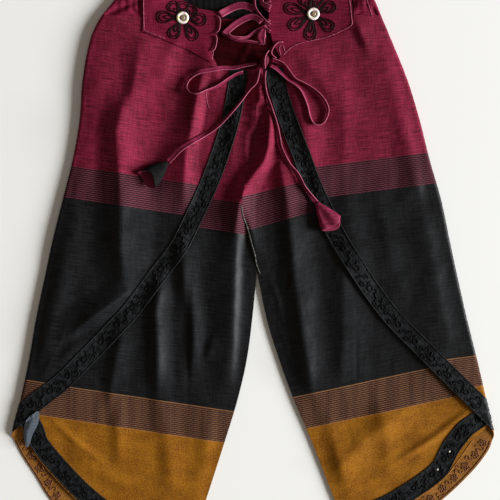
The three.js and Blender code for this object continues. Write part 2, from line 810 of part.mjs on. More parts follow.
// The gathered elastic casing at one side: a C-shaped section like the wrap panel's, with gathers across
// its front arm that fade out round the fold
function casing(half, seamX) {
  const { sign } = half;
  const sections = sign < 0 ? LEFT_SECTIONS : RIGHT_SECTIONS;
  const heights = [0, 0.2, 0.4, 0.6, 0.8, 1].map((t) => mix(PANEL_TOP_Y + GAP, CASING_TOP_Y, t));
  const seam = seamX + sign * GAP;
  const rings = heights.map((y, j) => {
    const radius = sectionValue(sections, "loft", y) / 2;
    const outer = sectionValue(sections, "outer", y) - sign * radius;
    const steps = CASING_GATHERS * 4;
    const outside = [[seam, 0]];
    const inside = [[seam, CASING_CLOTH]];
    for (let k = 0; k <= FOLD_STEPS; k += 1) {
      const angle = (Math.PI * k) / FOLD_STEPS - Math.PI / 2;
      outside.push([outer + sign * radius * Math.cos(angle), radius + radius * Math.sin(angle)]);
      const inner = radius - CASING_CLOTH;
      inside.push([outer + sign * inner * Math.cos(angle), radius + inner * Math.sin(angle)]);
    }
    for (let k = 1; k <= steps; k += 1) {
      const t = k / steps;
      const wave = Math.sin(t * CASING_GATHERS * Math.PI * 2 + j * 0.35) * CASING_RIPPLE * smooth(t * 4);
      const x = mix(outer, seam, t);
      outside.push([x, radius * 2 + wave]);
      inside.push([x, radius * 2 - CASING_CLOTH + wave]);
    }
    return [...outside, ...inside.reverse()].map(([x, z]) => [x, y, z]);
  });
  return loftRings(rings, rings[0].length / 2);
}

// Height of the highest surface under a point, among the pieces laid so far
const caster = new THREE.Raycaster();
const DOWN = new THREE.Vector3(0, 0, -1);
function topAt(x, y) {
  caster.set(new THREE.Vector3(x, y, 100), DOWN);
  const [hit] = caster.intersectObjects(garment.children);
  return hit ? hit.point.z : 0;
}

// Heights at which a strip lies just clear of everything under it
function restingHeights(stations, across, widths, closed = false) {
  const count = stations.length;
  const spans = [];
  for (let k = 0; k < (closed ? count : count - 1); k += 1) {
    const next = (k + 1) % count;
    let high = 0;
    for (const s of [0, 0.33, 0.67, 1])
      for (const aside of [-0.5, -0.25, 0, 0.25, 0.5]) {
        const reach = mix(widths[k], widths[next], s) * aside;
        const x = mix(stations[k].x, stations[next].x, s) + mix(across[k].x, across[next].x, s) * reach;
        const y = mix(stations[k].y, stations[next].y, s) + mix(across[k].y, across[next].y, s) * reach;
        high = Math.max(high, topAt(x, y));
      }
    spans.push(high);
  }
  return stations.map((_, k) => {
    const before = closed ? spans[(k + spans.length - 1) % spans.length] : spans[Math.max(0, k - 1)];
    const after = spans[Math.min(k, spans.length - 1)];
    return Math.max(before, after) + GAP;
  });
}

// A tape or cord laid along a plan route, with an oval section
function laidTape({ points, width, height, sides, step, closed = false }) {
  const curve = new THREE.CatmullRomCurve3(
    points.map((p) => new THREE.Vector3(p.x, p.y, 0)),
    closed,
  );
  const count = Math.max(2, Math.round(curve.getLength() / step));
  const stations = [];
  const across = [];
  for (let k = 0; k < (closed ? count : count + 1); k += 1) {
    stations.push(curve.getPointAt(k / count));
    const tangent = curve.getTangentAt(k / count);
    across.push(new THREE.Vector3(-tangent.y, tangent.x, 0));
  }
  const rests = restingHeights(stations, across, stations.map(() => width), closed);
  const rings = stations.map((p, k) => {
    const ring = [];
    for (let i = 0; i < sides; i += 1) {
      const angle = (i / sides) * Math.PI * 2 + Math.PI / 2;
      const reach = (Math.cos(angle) * width) / 2;
      const rise = ((Math.sin(angle) + 1) * height) / 2;
      ring.push([p.x + across[k].x * reach, p.y + across[k].y * reach, rests[k] + rise]);
    }
    return ring;
  });
  return closed ? closedLoft(rings) : loftRings(rings);
}

// A closed ring-shaped solid through rings of points, such as a braid that meets itself
function closedLoft(rings) {
  const size = rings[0].length;
  const count = rings.length * size;
  const triangles = [];
  for (let j = 0; j < rings.length; j += 1)
    for (let i = 0; i < size; i += 1) {
      const [a, b] = [j * size + i, j * size + ((i + 1) % size)];
      const [c, d] = [(b + size) % count, (a + size) % count];
      triangles.push([a, b, c], [a, c, d]);
    }
  return solidFrom(rings.flat(), triangles);
}

// The plan route of a flower's braid, out along one side of each petal and back along the other
function flowerRoute(flower) {
  const route = [];
  for (const petal of flower.petals) {
    const angle = THREE.MathUtils.degToRad(petal.angle);
    const [c, s] = [Math.cos(angle), Math.sin(angle)];
    const place = (row, side) => {
      const out = mix(BRAID_INNER_RADIUS, petal.reach, row.along);
      const aside = (side * row.width) / 2;
      return { x: flower.x + c * out - s * aside, y: flower.y + s * out + c * aside };
    };
    for (const row of BRAID_PETAL) route.push(place(row, -1));
    for (const row of BRAID_PETAL.slice(0, -1).reverse()) route.push(place(row, 1));
  }
  return route;
}

// A sewn button with a raised bead in its middle
function button(flower) {
  const profile = [
    [0, 0],
    [BUTTON_RADIUS, 0],
    [BUTTON_RADIUS, BUTTON_HEIGHT * 0.5],
    [BUTTON_RADIUS * 0.8, BUTTON_HEIGHT * 0.85],
    [BUTTON_RADIUS * 0.5, BUTTON_HEIGHT * 0.7],
    [BUTTON_RADIUS * 0.42, BUTTON_HEIGHT],
    [0, BUTTON_HEIGHT * 1.25],
  ];
  const shape = new THREE.LatheGeometry(profile.map(([r, h]) => new THREE.Vector2(r, h)), 20);
  let rest = 0;
  for (let k = 0; k < 12; k += 1) {
    const [c, s] = [Math.cos((k * Math.PI) / 6), Math.sin((k * Math.PI) / 6)];
    for (const r of [0, BUTTON_RADIUS / 2, BUTTON_RADIUS])
      rest = Math.max(rest, topAt(flower.x + c * r, flower.y + s * r));
  }
  shape.rotateX(Math.PI / 2).translate(flower.x, flower.y, rest + GAP);
  return solidOf(shape);
}

// The bow's knot, as a flattened ball
function knot() {
  const ball = new THREE.SphereGeometry(1, 12, 8).scale(KNOT.halfWidth, KNOT.halfLength, KNOT.halfHeight);
  let rest = 0;
  for (const dx of [-1, -0.5, 0, 0.5, 1])
    for (const dy of [-1, -0.5, 0, 0.5, 1])
      rest = Math.max(rest, topAt(KNOT.x + dx * KNOT.halfWidth, KNOT.y + dy * KNOT.halfLength));
  return solidOf(ball.translate(KNOT.x, KNOT.y, rest + GAP + KNOT.halfHeight));
}

// A flattened hollow bud, open at its mouth
function bud({ x, y, tipX, tipY }) {
  const length = Math.hypot(tipX - x, tipY - y);
  const [dx, dy] = [(tipX - x) / length, (tipY - y) / length];
  const stations = BUD_SECTIONS.map(({ along }) => ({
    x: x + dx * length * along,
    y: y + dy * length * along,
  }));
  const across = stations.map(() => ({ x: -dy, y: dx }));
  const rests = restingHeights(stations, across, BUD_SECTIONS.map((row) => row.halfWidth * 1.6));
  const last = BUD_SECTIONS.length - 1;
  const form = (inset) => {
    const rings = [];
    BUD_SECTIONS.forEach((row, k) => {
      if (inset > 0 && k === 0) return;
      const mouth = inset > 0 && k === last ? 1 : 0;
      const ring = [];
      for (let i = 0; i < BUD_SIDES; i += 1) {
        const angle = (i / BUD_SIDES) * Math.PI * 2;
        const reach = Math.cos(angle) * (row.halfWidth - inset);
        const rise = row.halfHeight + Math.sin(angle) * (row.halfHeight - inset);
        const px = stations[k].x + dx * mouth - dy * reach;
        const py = stations[k].y + dy * mouth + dx * reach;
        ring.push([px, py, rests[k] + rise]);
      }
      rings.push(ring);
    });
    return loftRings(rings);
  };
  return form(0).subtract(form(BUD_CLOTH));
}

for (const [side, cloth] of [["left", left], ["right", right]]) {
  addSolid(`wrap_panel_${side}`, cloth.wrap, material(WINE));
  addSolid(`front_panel_${side}`, cloth.front, material(WINE));
  addSolid(`petal_trim_${side}`, cloth.petalTrim, material(BLACK));
  addSolid(`hem_trim_${side}`, cloth.hemTrim, material(BLACK));
  addSolid(`waistband_${side}`, cloth.waistband, material(WINE));
}
addSolid("casing_left", casing(leftHalf, LEFT_SEAM_X), material(WINE));
addSolid("casing_right", casing(rightHalf, RIGHT_SEAM_X), material(WINE));
addSolid("waistband_back", prism(BACK_WAISTBAND, 0, WAISTBAND_CLOTH), material(BLACK));
addSolid("placket", prism(PLACKET, PLACKET_LEVEL, PLACKET_LEVEL + CLOTH), material(DARK_WINE));
for (const [side, flower] of [["left", LEFT_FLOWER], ["right", RIGHT_FLOWER]]) {
  const braid = { width: BRAID_WIDTH, height: BRAID_HEIGHT, sides: BRAID_SIDES, step: 6, closed: true };
  const buttonSolid = button(flower);
  addSolid(`flower_braid_${side}`, laidTape({ points: flowerRoute(flower), ...braid }), material(BLACK));
  addSolid(`button_${side}`, buttonSolid, material(PEARL, 0.25));
}
for (const run of LACING)
  addSolid(run.name, laidTape({ ...run, height: LACE_HEIGHT, sides: 6, step: LACE_STEP }), material(WINE));
addSolid("bow_knot", knot(), material(WINE));
for (const cord of FREE_CORDS)
  addSolid(cord.name, laidTape({ ...cord, sides: CORD_SIDES, step: CORD_STEP }), material(WINE));
for (const item of BUDS) addSolid(item.name, bud(item), material(WINE));

export default garment;
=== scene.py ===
"""A pair of wrap salwar trousers laid flat, dressed in banded handwoven cloth.

Lengths in the tables are millimetres in the part's frame: +Z up from the surface, +Y to the waist.
Every panel is a thin shell cut from a flat outline and laid on the heights of the solid it stands for.
"""

import math
import random

import bpy
import numpy as np
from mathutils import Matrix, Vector, geometry
from mathutils.bvhtree import BVHTree


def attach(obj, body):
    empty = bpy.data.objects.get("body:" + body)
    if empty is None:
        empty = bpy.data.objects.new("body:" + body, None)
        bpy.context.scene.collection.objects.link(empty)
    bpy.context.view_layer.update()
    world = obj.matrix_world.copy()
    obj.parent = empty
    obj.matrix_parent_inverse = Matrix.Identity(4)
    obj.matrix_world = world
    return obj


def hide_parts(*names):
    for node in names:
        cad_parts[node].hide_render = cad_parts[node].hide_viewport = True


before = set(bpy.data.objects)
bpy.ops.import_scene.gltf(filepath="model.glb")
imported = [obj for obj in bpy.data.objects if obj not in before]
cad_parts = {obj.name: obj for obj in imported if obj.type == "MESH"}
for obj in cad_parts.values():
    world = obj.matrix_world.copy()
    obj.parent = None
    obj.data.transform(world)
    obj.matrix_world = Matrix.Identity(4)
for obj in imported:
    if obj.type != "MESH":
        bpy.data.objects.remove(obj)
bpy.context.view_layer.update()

MM = 0.001
# The cloth's thickness in the solids, the gap between pieces, and the thickness of the shells made here
CLOTH = 1.2
GAP = 0.3
SHELL = 0.7
TRIM_WIDTH = 24
CROTCH_Y = 0
# Height of a leg's three layers where they lie flat
LIE_FLAT = CLOTH * 3 + GAP * 2

# Sections of each half, from the waist down: the height on the part, the outer fold's x, and the loft
# of the flattened tube there
SECTIONS = {
    "left": [
        (386, -163, 8.5), (354, -179, 9), (328, -199, 9), (302, -211, 9), (250, -221, 8.5),
        (198, -225, 8), (146, -234, 7), (94, -247, 7), (42, -260, 7), (0, -269, 6), (-62, -282, 6),
        (-114, -291, 6), (-166, -302, 6), (-212, -313, 5), (-296, -313, 5), (-386, -313, 5),
    ],
    "right": [
        (386, 140, 8), (354, 157, 8.5), (328, 168, 8.5), (302, 179, 8.5), (250, 200, 8), (198, 216, 8),
        (146, 229, 8), (94, 244, 7), (42, 255, 7), (0, 264, 6), (-62, 278, 6), (-114, 291, 6),
        (-166, 303, 6), (-212, 313, 5), (-296, 313, 5), (-386, 313, 5),
    ],
}

# The centre seam, which both halves share down to the crotch, and each leg's inseam below it: the height
# on the part, and the seam's x
CENTRE_SEAM = [
    (386, 5), (354, 5), (328, 5), (302, 5), (250, 5), (198, 3), (146, -1), (94, -14), (42, -5), (0, 5),
]
INSEAMS = {
    "left": [
        (0, 5), (-62, -1), (-114, -8), (-166, -20), (-212, -34), (-296, -61), (-386, -91),
    ],
    "right": [
        (0, 5), (-62, 18), (-114, 34), (-166, 53), (-212, 73), (-296, 106), (-386, 141),
    ],
}

# Free edge of each petal, from the waist at the centre to the outer corner
PETAL_EDGE = {
    "left": [
        (-5, 285), (-9, 239), (-17, 196), (-30, 152), (-47, 107), (-65, 68), (-85, 28), (-113, -10),
        (-147, -55), (-176, -87), (-213, -125), (-238, -150), (-274, -178), (-318, -212),
    ],
    "right": [
        (10, 285), (22, 229), (36, 187), (51, 148), (65, 110), (84, 70), (100, 38), (129, -9),
        (162, -55), (187, -83), (212, -108), (254, -150), (286, -181), (318, -212),
    ],
}

# Curved hem of each front panel, and of each wrap panel where it lies under the leg
FRONT_HEM = {
    "left": [
        (-322, -180), (-298, -205), (-289, -228), (-269, -254), (-247, -278), (-229, -296),
        (-199, -320), (-153, -344), (-108, -357), (-60, -363),
    ],
    "right": [
        (322, -185), (295, -209), (286, -218), (270, -240), (247, -269), (210, -296), (172, -317),
        (126, -331), (90, -338),
    ],
}
WRAP_HEM = {
    "left": [
        (-324, -196), (-313, -213), (-300, -238), (-283, -264), (-263, -296), (-231, -331),
        (-192, -359), (-140, -376), (-91, -383), (-40, -385),
    ],
    "right": [
        (324, -196), (313, -213), (305, -233), (282, -262), (246, -296), (211, -321), (165, -343),
        (120, -355), (80, -360),
    ],
}

# Part of each petal's outline at the top, hidden under the waistband panel, from the centre outwards
PETAL_TOP = {
    "left": [
        (-44, 262.5), (-52, 279), (-82, 295), (-114, 308), (-143, 319), (-143, 332),
    ],
    "right": [
        (28, 262.5), (38, 285), (65, 302), (100, 311), (130, 323), (130, 332),
    ],
}
WAISTBAND = {
    "left": [
        (-143, 311), (-114, 300), (-82, 287), (-54, 271), (-44, 328), (-40, 336), (-70, 341),
        (-85, 350), (-108, 358), (-142, 370),
    ],
    "right": [
        (130, 315), (100, 303), (65, 294), (50, 288), (36, 277), (26, 296), (20, 322), (22, 353),
        (70, 363), (126, 374),
    ],
}
PLACKET = [(-43.6, 262.8), (27.4, 262.8), (36, 286), (36, 326), (-50, 326), (-51.8, 280)]
PANEL_TOP = 332
FRONT_TOP = 306
CASING_TOP = 382
SIDE_SEAM = {"left": -143, "right": 130}
BACK_BAND = [
    (-142.7, 329), (129.7, 329), (129.7, 382), (90, 383), (30, 380), (-40, 379), (-100, 381), (-142.7, 382),
]

# Folds of each petal, and of the front panels. A row holds the path of the fold's crest, its reach to the
# west (towards -X) and to the east, its height, and how round the crest is. A height below zero is a
# trough. Where a reach is two numbers, they are the reach at the path's start and at its end.
PETAL_FOLDS = {
    "left": [
        ([(-144, 300), (-149, 267), (-156, 226)], (34, 10), 56, 7, 2),
        (
            [(-164, 226), (-175, 181), (-172, 134), (-170, 82), (-171, 30), (-166, -14)],
            (26, 36), 44, 12.5, 2.5,
        ),
        (
            [(-66, 252), (-74, 215), (-80, 181), (-86, 157), (-88, 130), (-90, 96)],
            (18, 48), (12, 20), 11, 2,
        ),
        ([(-57, 240), (-62, 205), (-68, 174)], 3, 3, -1.8, 0.6),
        ([(-204, 290), (-211, 250), (-217, 200), (-224, 150), (-236, 100), (-250, 40)], 9, 24, 3.2, 3),
        ([(-202, 269), (-217, 260)], 4, 4, 1.2, 1),
        ([(-203, 246), (-219, 241)], 4, 4, -1.2, 1),
        ([(-92, 306), (-112, 278), (-117, 250)], 16, 12, 2.4, 3),
        ([(-62, 290), (-52, 268), (-42, 244)], 26, 10, 4, 3),
        ([(-166, -28), (-178, -38), (-199, -53), (-228, -74)], 30, (15, 8), 12, 1.4),
        ([(-254, 50), (-259, 0), (-267, -56), (-277, -116)], 8, (46, 20), 8.5, 2.5),
        ([(-238, -62), (-254, -100), (-272, -135)], 12, 10, 2, 1.5),
        ([(-206, -85), (-235, -100), (-262, -126)], 12, 12, 2.4, 2),
    ],
    "right": [
        ([(52, 246), (62, 200), (74, 150), (92, 96)], 8, 32, 3.6, 3),
        ([(66, 280), (86, 250), (106, 218)], 24, 30, 3.4, 3),
        ([(118, 250), (120, 190), (118, 140), (124, 60), (150, -20)], 24, 32, 2.8, 4),
        ([(190, 254), (198, 200), (207, 150), (216, 90)], 24, 16, 3.4, 4),
        ([(134, 322), (140, 306), (148, 290)], 8, 18, 4, 2),
        ([(174, 314), (177, 290), (181, 264)], 16, 8, 3.6, 2),
        ([(150, 330), (161, 318), (170, 304)], 14, 5, 2.6, 1.5),
        ([(222, 64), (233, 0), (243, -60), (252, -106)], 28, 20, 2.2, 6),
        ([(137, 2), (200, 1), (263, -2)], 2.5, 2.5, -0.8, 1),
        ([(160, 100), (172, 40), (190, -20)], 20, 24, 2, 5),
    ],
}
FRONT_FOLDS = [
    (
        [(23, 206), (21, 182), (19, 160), (14, 143), (3, 129), (-9, 112), (-18, 87), (-21, 62)],
        (7, 18), (8, 24), 13, 1.5,
    ),
    ([(-1, 188), (-7, 178), (-9, 160), (-7, 144)], 12, 4, 3.5, 1),
    ([(-20, 214), (-24, 180), (-30, 140)], 10, 14, 3, 3),
    ([(-21, 78), (-23, 40), (-25, -10), (-26, -88), (-29, -150)], 34, (11, 22), 6.5, 3),
    ([(-9, 84), (-2, 50), (3, 24), (7, 6)], 6, (20, 16), 4.5, 1),
    ([(10, 262), (12, 246), (15, 217), (21, 198)], 9, 4, 5, 1),
    ([(12, 250), (8, 236), (9, 224), (6, 214)], 5, 4, 3, 1),
    ([(6, 256), (4, 220), (2, 192)], 14, 12, 4.5, 4),
    (
        [(34, 160), (38, 128), (45, 88), (49, 42), (53, -4), (58, -36), (66, -90), (76, -150)],
        (17, 26), 34, 8, 2.5,
    ),
    ([(116, 24), (117, -40), (116, -100), (112, -150)], 32, 40, 5, 2.5),
    ([(-92, 44), (-90, -4), (-87, -44)], 14, 22, 6, 2),
    ([(-119, -8), (-126, -51), (-124, -100), (-124, -150)], 15, 22, 8, 2),
    ([(-168, -74), (-178, -116), (-185, -160)], 14, 22, 5, 2),
    ([(-79, -34), (-77, -88), (-78, -124)], 9, 20, 4.6, 2),
    ([(-84, -54), (-84, -110), (-85, -170)], 2, 2, -1.4, 0.6),
    ([(-52, -86), (-59, -112)], 7, 18, 3, 1.5),
    ([(-173, -168), (-176, -200), (-172, -240)], 12, 16, 2, 3),
    ([(-121, -160), (-110, -220), (-106, -280)], 16, 18, 2.2, 4),
    ([(-60, -190), (-58, -250), (-66, -320)], 16, 18, 2, 4),
    ([(-231, -231), (-205, -255), (-173, -270)], 14, 14, 2, 4),
    ([(96, -180), (108, -240), (124, -290)], 18, 20, 2, 4),
    ([(160, -160), (170, -200), (176, -250)], 18, 20, 2, 4),
    ([(134, -86), (134, -140)], 2, 2, -0.6, 0.6),
    ([(22, -12), (32, -34), (36, -60)], 4, 5, 2, 1.5),
    ([(46, -2), (42, -22)], 3, 4, -1.5, 1),
    ([(48, -98), (44, -128)], 3, 4, -1.4, 1),
    ([(34, -74), (44, -98), (50, -120)], 3, 4, 1.2, 1),
    ([(200, -176), (140, -222), (96, -268)], 28, 22, 4, 4),
    ([(286, -176), (262, -193), (240, -211), (193, -241)], 7, 7, 2.4, 1),
    ([(-256, -196), (-228, -222), (-196, -246)], 7, 7, 1.6, 1),
]

# Crinkles where the cloth bunches at the middle: height on the part, and how far they lean
CRINKLES = [(238, 3), (228, -2), (219, 4), (211, 2), (203, -3), (196, 3), (188, 4)]
PLACKET_FOLDS = [
    ([(20, 290), (-12, 293), (-40, 300)], 8, 8, 2.4, 2),
    ([(10, 272), (-12, 275), (-30, 280)], 6, 6, 2, 2),
    ([(-10, 312), (-46, 318)], 5, 5, 1.4, 1),
    ([(-4, 300), (-10, 284), (-20, 268)], 6, 6, 1.8, 1),
]
CASING_CREASES = {
    "left": [
        ([(-156, 347), (-172, 341), (-190, 333)], 6, 5, -4, 1),
        ([(-144, 334), (-150, 336), (-158, 340)], 3, 3, -2.5, 0.6),
        ([(-146, 358), (-147, 340)], 5, 5, -4, 1),
    ],
    "right": [
        ([(132, 356), (131, 342)], 4, 4, -4, 1),
        ([(142, 337), (130, 332)], 2, 2, -1.5, 0.6),
        ([(154, 342), (162, 330)], 4, 4, -2.5, 1),
    ],
}

# Where the woven bands cross each panel: rows of a height on the cloth and the line y = at0 + slope * x
# on which it lies
BANDS = {
    "wrap_left": [(102, 102, -0.15), (60, 60, -0.15), (-184, -184, -0.15), (-227, -227, -0.15)],
    "wrap_right": [(102, 125.6, 0.128), (60, 84.3, 0.128), (-184, -145.5, 0.128), (-227, -185, 0.128)],
    "front_left": [(102, 87, -0.15), (60, 47, -0.15), (-184, -185, -0.15), (-227, -227, -0.15)],
    "front_right": [(102, 101.2, 0.248), (60, 55.7, 0.283), (-184, -174, 0.214), (-227, -217.8, 0.214)],
}

# Flowers of braid round each button: where each petal of a flower points, and how far it reaches
FLOWERS = {
    "left": {
        "x": -91, "y": 329,
        "petals": [(178, 33), (241, 30), (301, 33), (355, 31), (42, 22), (86, 21), (130, 25)],
    },
    "right": {
        "x": 78, "y": 334,
        "petals": [(166, 38), (210, 36), (262, 34), (322, 33), (22, 31), (72, 27), (120, 27)],
    },
}
BRAID_PETAL = [(0, 2.6), (0.3, 9), (0.6, 15), (0.86, 13.5), (0.96, 8), (1, 0)]
BRAID_START = 7.5
BRAID_RADIUS = 0.62
# Profiles of a button's rim and of the bead on its middle: radius and height
BUTTON_RIM = [
    (0, 0), (7.9, 0), (8.1, 0.9), (7.7, 1.9), (6.7, 2.5), (5.3, 2.4), (4.3, 1.7), (3.9, 0.8), (0, 0.7),
]
BUTTON_BEAD = [(3.5, 0.7), (3.5, 1.5), (3.0, 2.3), (2.0, 2.8), (0.9, 3.0), (0.4, 2.7), (0, 2.6)]

# Loops of wine tape at the edges of the opening, and the tape that is laced through them. A row holds the
# node, the width, the roll and the route. The roll is how far the tape is turned onto its edge, in degrees.
# Pairs in place of one number are parts of the length, and the value there.
LACING = [
    ("lace_loop_left_1", 4, 24, [(-47, 331), (-43.5, 327), (-44.5, 314), (-49, 310)]),
    ("lace_loop_left_2", 4, 24, [(-50, 306), (-47.5, 302), (-50, 289), (-54.5, 286)]),
    ("lace_loop_right_1", 4, 20, [(23, 351), (17, 349), (16.5, 342), (22, 338)]),
    ("lace_loop_right_2", 4, 30, [(22, 326), (17, 323), (17, 316), (22.5, 311)]),
    ("lace_loop_right_3", 4, 66, [(39, 297), (31, 296), (24, 284), (30, 277)]),
    ("lace_run_top", 9.5, [(0, 20), (0.3, 0), (1, 0)], [(-43, 333), (-27, 343), (-13, 346), (2, 341)]),
    ("lace_run_short", 6, [(0, 40), (1, 0)], [(12, 358), (12, 348), (23, 342)]),
    (
        "lace_run_side", 5, [(0, 50), (0.5, 60), (1, 20)],
        [(2, 356), (3, 344), (9, 334), (16, 324), (22, 319)],
    ),
    ("lace_run_cross", 8, [(0, 15), (1, -10)], [(-38, 308), (-20, 323), (-1, 331), (11, 323)]),
    ("lace_run_low", 4, [(0, 40), (1, 50)], [(-40, 310), (-22, 301), (-5, 299), (11, 296)]),
    ("lace_run_middle", 4, [(0, 50), (1, 20)], [(-32, 308), (-26, 304), (-9, 304), (4, 313), (17, 318)]),
    ("lace_run_bulge", [(0, 5), (0.45, 12), (1, 3)], 0, [(14, 314), (11, 304), (14, 294)]),
]
KNOT = {"x": 15, "y": 272, "half_width": 8, "half_length": 10, "half_height": 3.4}
KNOT_TURN = [(21, 286), (17, 279), (15.5, 271), (16, 262)]

# The free cords of folded tape, in the same columns: each loop of the bow, and each tail to its bud
FREE_CORDS = [
    (
        "bow_loop_left", 6,
        [(0, 50), (0.12, 35), (0.3, 5), (0.4, 10), (0.5, 80), (0.66, 85), (0.8, 70), (1, 60)],
        [
            (5, 269), (-10, 267), (-25, 264), (-39, 264), (-56, 261), (-70, 258), (-80, 250),
            (-85, 240), (-81, 232), (-71, 230), (-60, 235), (-46, 241), (-34, 249), (-23, 256),
            (-13, 259),
        ],
    ),
    (
        "bow_loop_right", 6,
        [(0, 30), (0.15, 65), (0.4, 75), (0.6, 80), (0.8, 60), (1, 40)],
        [
            (24, 275), (38, 270), (47, 260), (55, 250), (65, 245), (80, 236), (92, 224), (98, 209),
            (92, 193), (81, 190), (74, 199), (70, 216), (63, 233), (55, 242), (46, 248), (38, 255),
            (29, 263), (22, 267),
        ],
    ),
    (
        "lace_tail_left", 6.5,
        [(0, 70), (0.3, 66), (0.5, 52), (0.7, 26), (0.85, 8), (1, 0)],
        [
            (9, 261), (7, 251), (4, 243), (-5, 234), (-17, 218), (-32, 201), (-47, 187), (-66, 175),
            (-91, 160), (-101, 151), (-110, 142),
        ],
    ),
    (
        "lace_tail_right", 6.5,
        [(0, 50), (0.12, 70), (0.3, 74), (0.42, 40), (0.55, 66), (0.72, 30), (0.86, 56), (1, 10)],
        [
            (16, 260), (15, 250), (18, 231), (24, 214), (29, 198), (33, 179), (38, 159), (47, 139),
            (58, 126), (69, 107), (82, 90),
        ],
    ),
]
BUDS = {
    "left": {"stem": (-110.5, 141.6), "tip": (-140, 116)},
    "right": {"stem": (82.4, 89.5), "tip": (106, 55)},
}
# How far the corners of a bud's mouth draw back, the part of its length by which its upper leaf is
# shorter, and how deep the groove along its upper side is
BUD_ROUNDING = {"left": 2, "right": 9}
BUD_MOUTH = {"left": 0.34, "right": 0.12}
GROOVE = {"left": 0.1, "right": 0.55}
# Sections of a bud: part of its length, half its width and half its height
BUD_SECTIONS = [(0, 3.2, 2.4), (0.12, 4.6, 3.2), (0.25, 7.5, 4.2), (0.6, 12.5, 5.4), (1, 14.5, 5.8)]

# Embroidery of the border, as strokes in millimetres along its edge and in from it, repeated along it.
# A ring, a double curl and a pair of leaves take turns.
RING = [(3.4 * math.cos(a), 3.1 * math.sin(a)) for a in [math.pi * k / 6 for k in range(13)]]
CURL = [
    (-7, 4), (-4.4, 5.4), (-2.4, 3.6), (-3.6, 1.6), (-1.4, 0), (1.2, -0.6), (3.8, -1.8), (2.6, -4.2),
    (5.4, -5.6), (8, -4),
]
LEAF = [(0, 0), (2.2, 2.1), (5.2, 2.3), (8, 0), (5.2, -1.3), (2.2, -1.4), (0, 0)]
MOTIFS = [
    {"at": 0, "in": 12, "strokes": [RING]},
    {"at": 13, "in": 12, "strokes": [CURL]},
    {"at": 17, "in": 6, "strokes": [LEAF]},
    {"at": 25, "in": 12, "strokes": [[(-2, 6), (0, 2), (1, -2), (-1, -6)], [(-3, 1), (0, 2.4), (3, 4.4)]]},
]
REPEAT = 31
# Angles of the looped stitches' flower and ring
ROUND = [math.pi * k / 15 for k in range(31)]
HEM_STITCHES = [
    [(r * math.cos(a), r * math.sin(a)) for r, a in ((4.4 + 1.5 * math.cos(5 * a), a) for a in ROUND)],
    [(1.9 * math.cos(a), 1.9 * math.sin(a)) for a in ROUND],
    [(6, -3), (8, -5), (10.5, -3.5), (10, -0.5), (12, 2.5), (15, 1.5), (15.5, -1.5)],
    [(7.5, 3.5), (9, 6), (12, 5.5)],
]
HEM_REPEAT = 21

# Stitched seams: the lower and side edges of each waistband panel and the opening's free edges
SEAM_LINES = [
    [(-141.5, 366), (-141.5, 340), (-141, 318), (-140, 312.5), (-128, 307.6), (-114, 302.3)],
    [(-43.5, 322), (-47, 308), (-50.5, 290), (-53, 274)],
    [
        (122, 368), (125, 350), (127, 330), (127, 319), (112, 311), (98, 305), (80, 300.5), (64, 297),
        (50, 291), (39, 281),
    ],
    [(36, 281), (34, 290), (38, 294), (42, 284)],
    [(146, 355), (150, 344), (154, 330)],
    [(-60, 240), (-60.5, 226), (-57, 212)],
    [(20, 224), (27, 204), (33, 186), (38, 168)],
]
CROTCH_SEAM = [(-15, 86), (-12.5, 72), (-8, 60), (-5, 50), (-1.5, 36), (2.5, 22), (4.5, 10), (9, -2)]

# How far in from each front hem its border lies. Pairs are parts of the hem, from the outer fold.
HEM_INSET = {"left": 1.6, "right": [(0, 2), (0.1, 5.5), (0.22, 6.5), (0.34, 1.6), (1, 1.6)]}
# Where the mustard edge of each front hem starts, from the middle
LIP_START = 286
# Outline of the satin corner that turns up at the left hem, whose light blue-grey colour is a painted sheen,
# and the places of two spangles on the right
TURN_OUTLINE = [
    (-277.5, -180), (-284, -183.5), (-291, -188.5), (-295, -196), (-297, -208), (-296, -218), (-292.5, -227),
    (-288.5, -221), (-286, -212), (-282, -204), (-277.8, -194),
]
SPANGLES = [(254.8, -232.7), (239.2, -256.1)]
SPANGLE_PROFILE = [(0, 0), (1.3, 0.1), (1.2, 0.7), (0.6, 1.0), (0, 1.1)]

# Border: its thickness, the radii of its stitches and edge cords, and how far in from its edge they lie
TRIM_SHELL = 0.5
STITCH_RADIUS, STITCH_MARGIN = 1.05, 2.6
EDGE_CORD_RADIUS, EDGE_CORD_IN = 0.55, 0.9
HEM_STITCH_IN, HEM_OUTLINE_IN = 10.5, 2.2
HEM_STITCH_RANGE = (4, 20)
# The back hem shows where what lies on it is lower than this
OPEN_BELOW = 3.2

# Section of the tape: place across its half width, and height, with the rolled edges thicker
TAPE_SECTION = [
    (-1, 0.5), (-0.84, 1.5), (-0.5, 0.95), (0, 0.75), (0.5, 0.95),
    (0.84, 1.5), (1, 0.5), (0.8, 0), (0, 0), (-0.8, 0),
]

# Columns of the section and seam tables
OUTER, LOFT = 1, 2
SEAM_X = 1

SIGN = {"left": -1, "right": 1}
# Distance between a panel's points where it shows, where it is hidden, and between a tape's rings
SPACING = 2.8
COARSE = 9.0
TAPE_STEP = 2.0
# How far pieces stand off what they lie on, and the levels of the back band and of the underlap
TAPE_LIFT = 0.1
PETAL_TRIM_LIFT, HEM_TRIM_LIFT, BUTTON_LIFT = 0.65, 0.6, 0.6
BACK_BAND_Z, PLACKET_Z = 1.1, 4.2

# The stage and the camera, in metres: the photo takes in PHOTO_WIDTH across
FLOOR_HALF = 3.0
KEY_PLACE = (11.4, -0.73, 3.88)
CAMERA_PLACE, CAMERA_HEIGHT = (-0.0039, 0.0286), 1.6
PHOTO_WIDTH = 0.65


def smooth(t):
    s = np.clip(t, 0, 1)
    return s * s * (3 - 2 * s)


def spans(line):
    """Lengths of a line's segments."""
    return np.linalg.norm(np.diff(line, axis=0), axis=1)


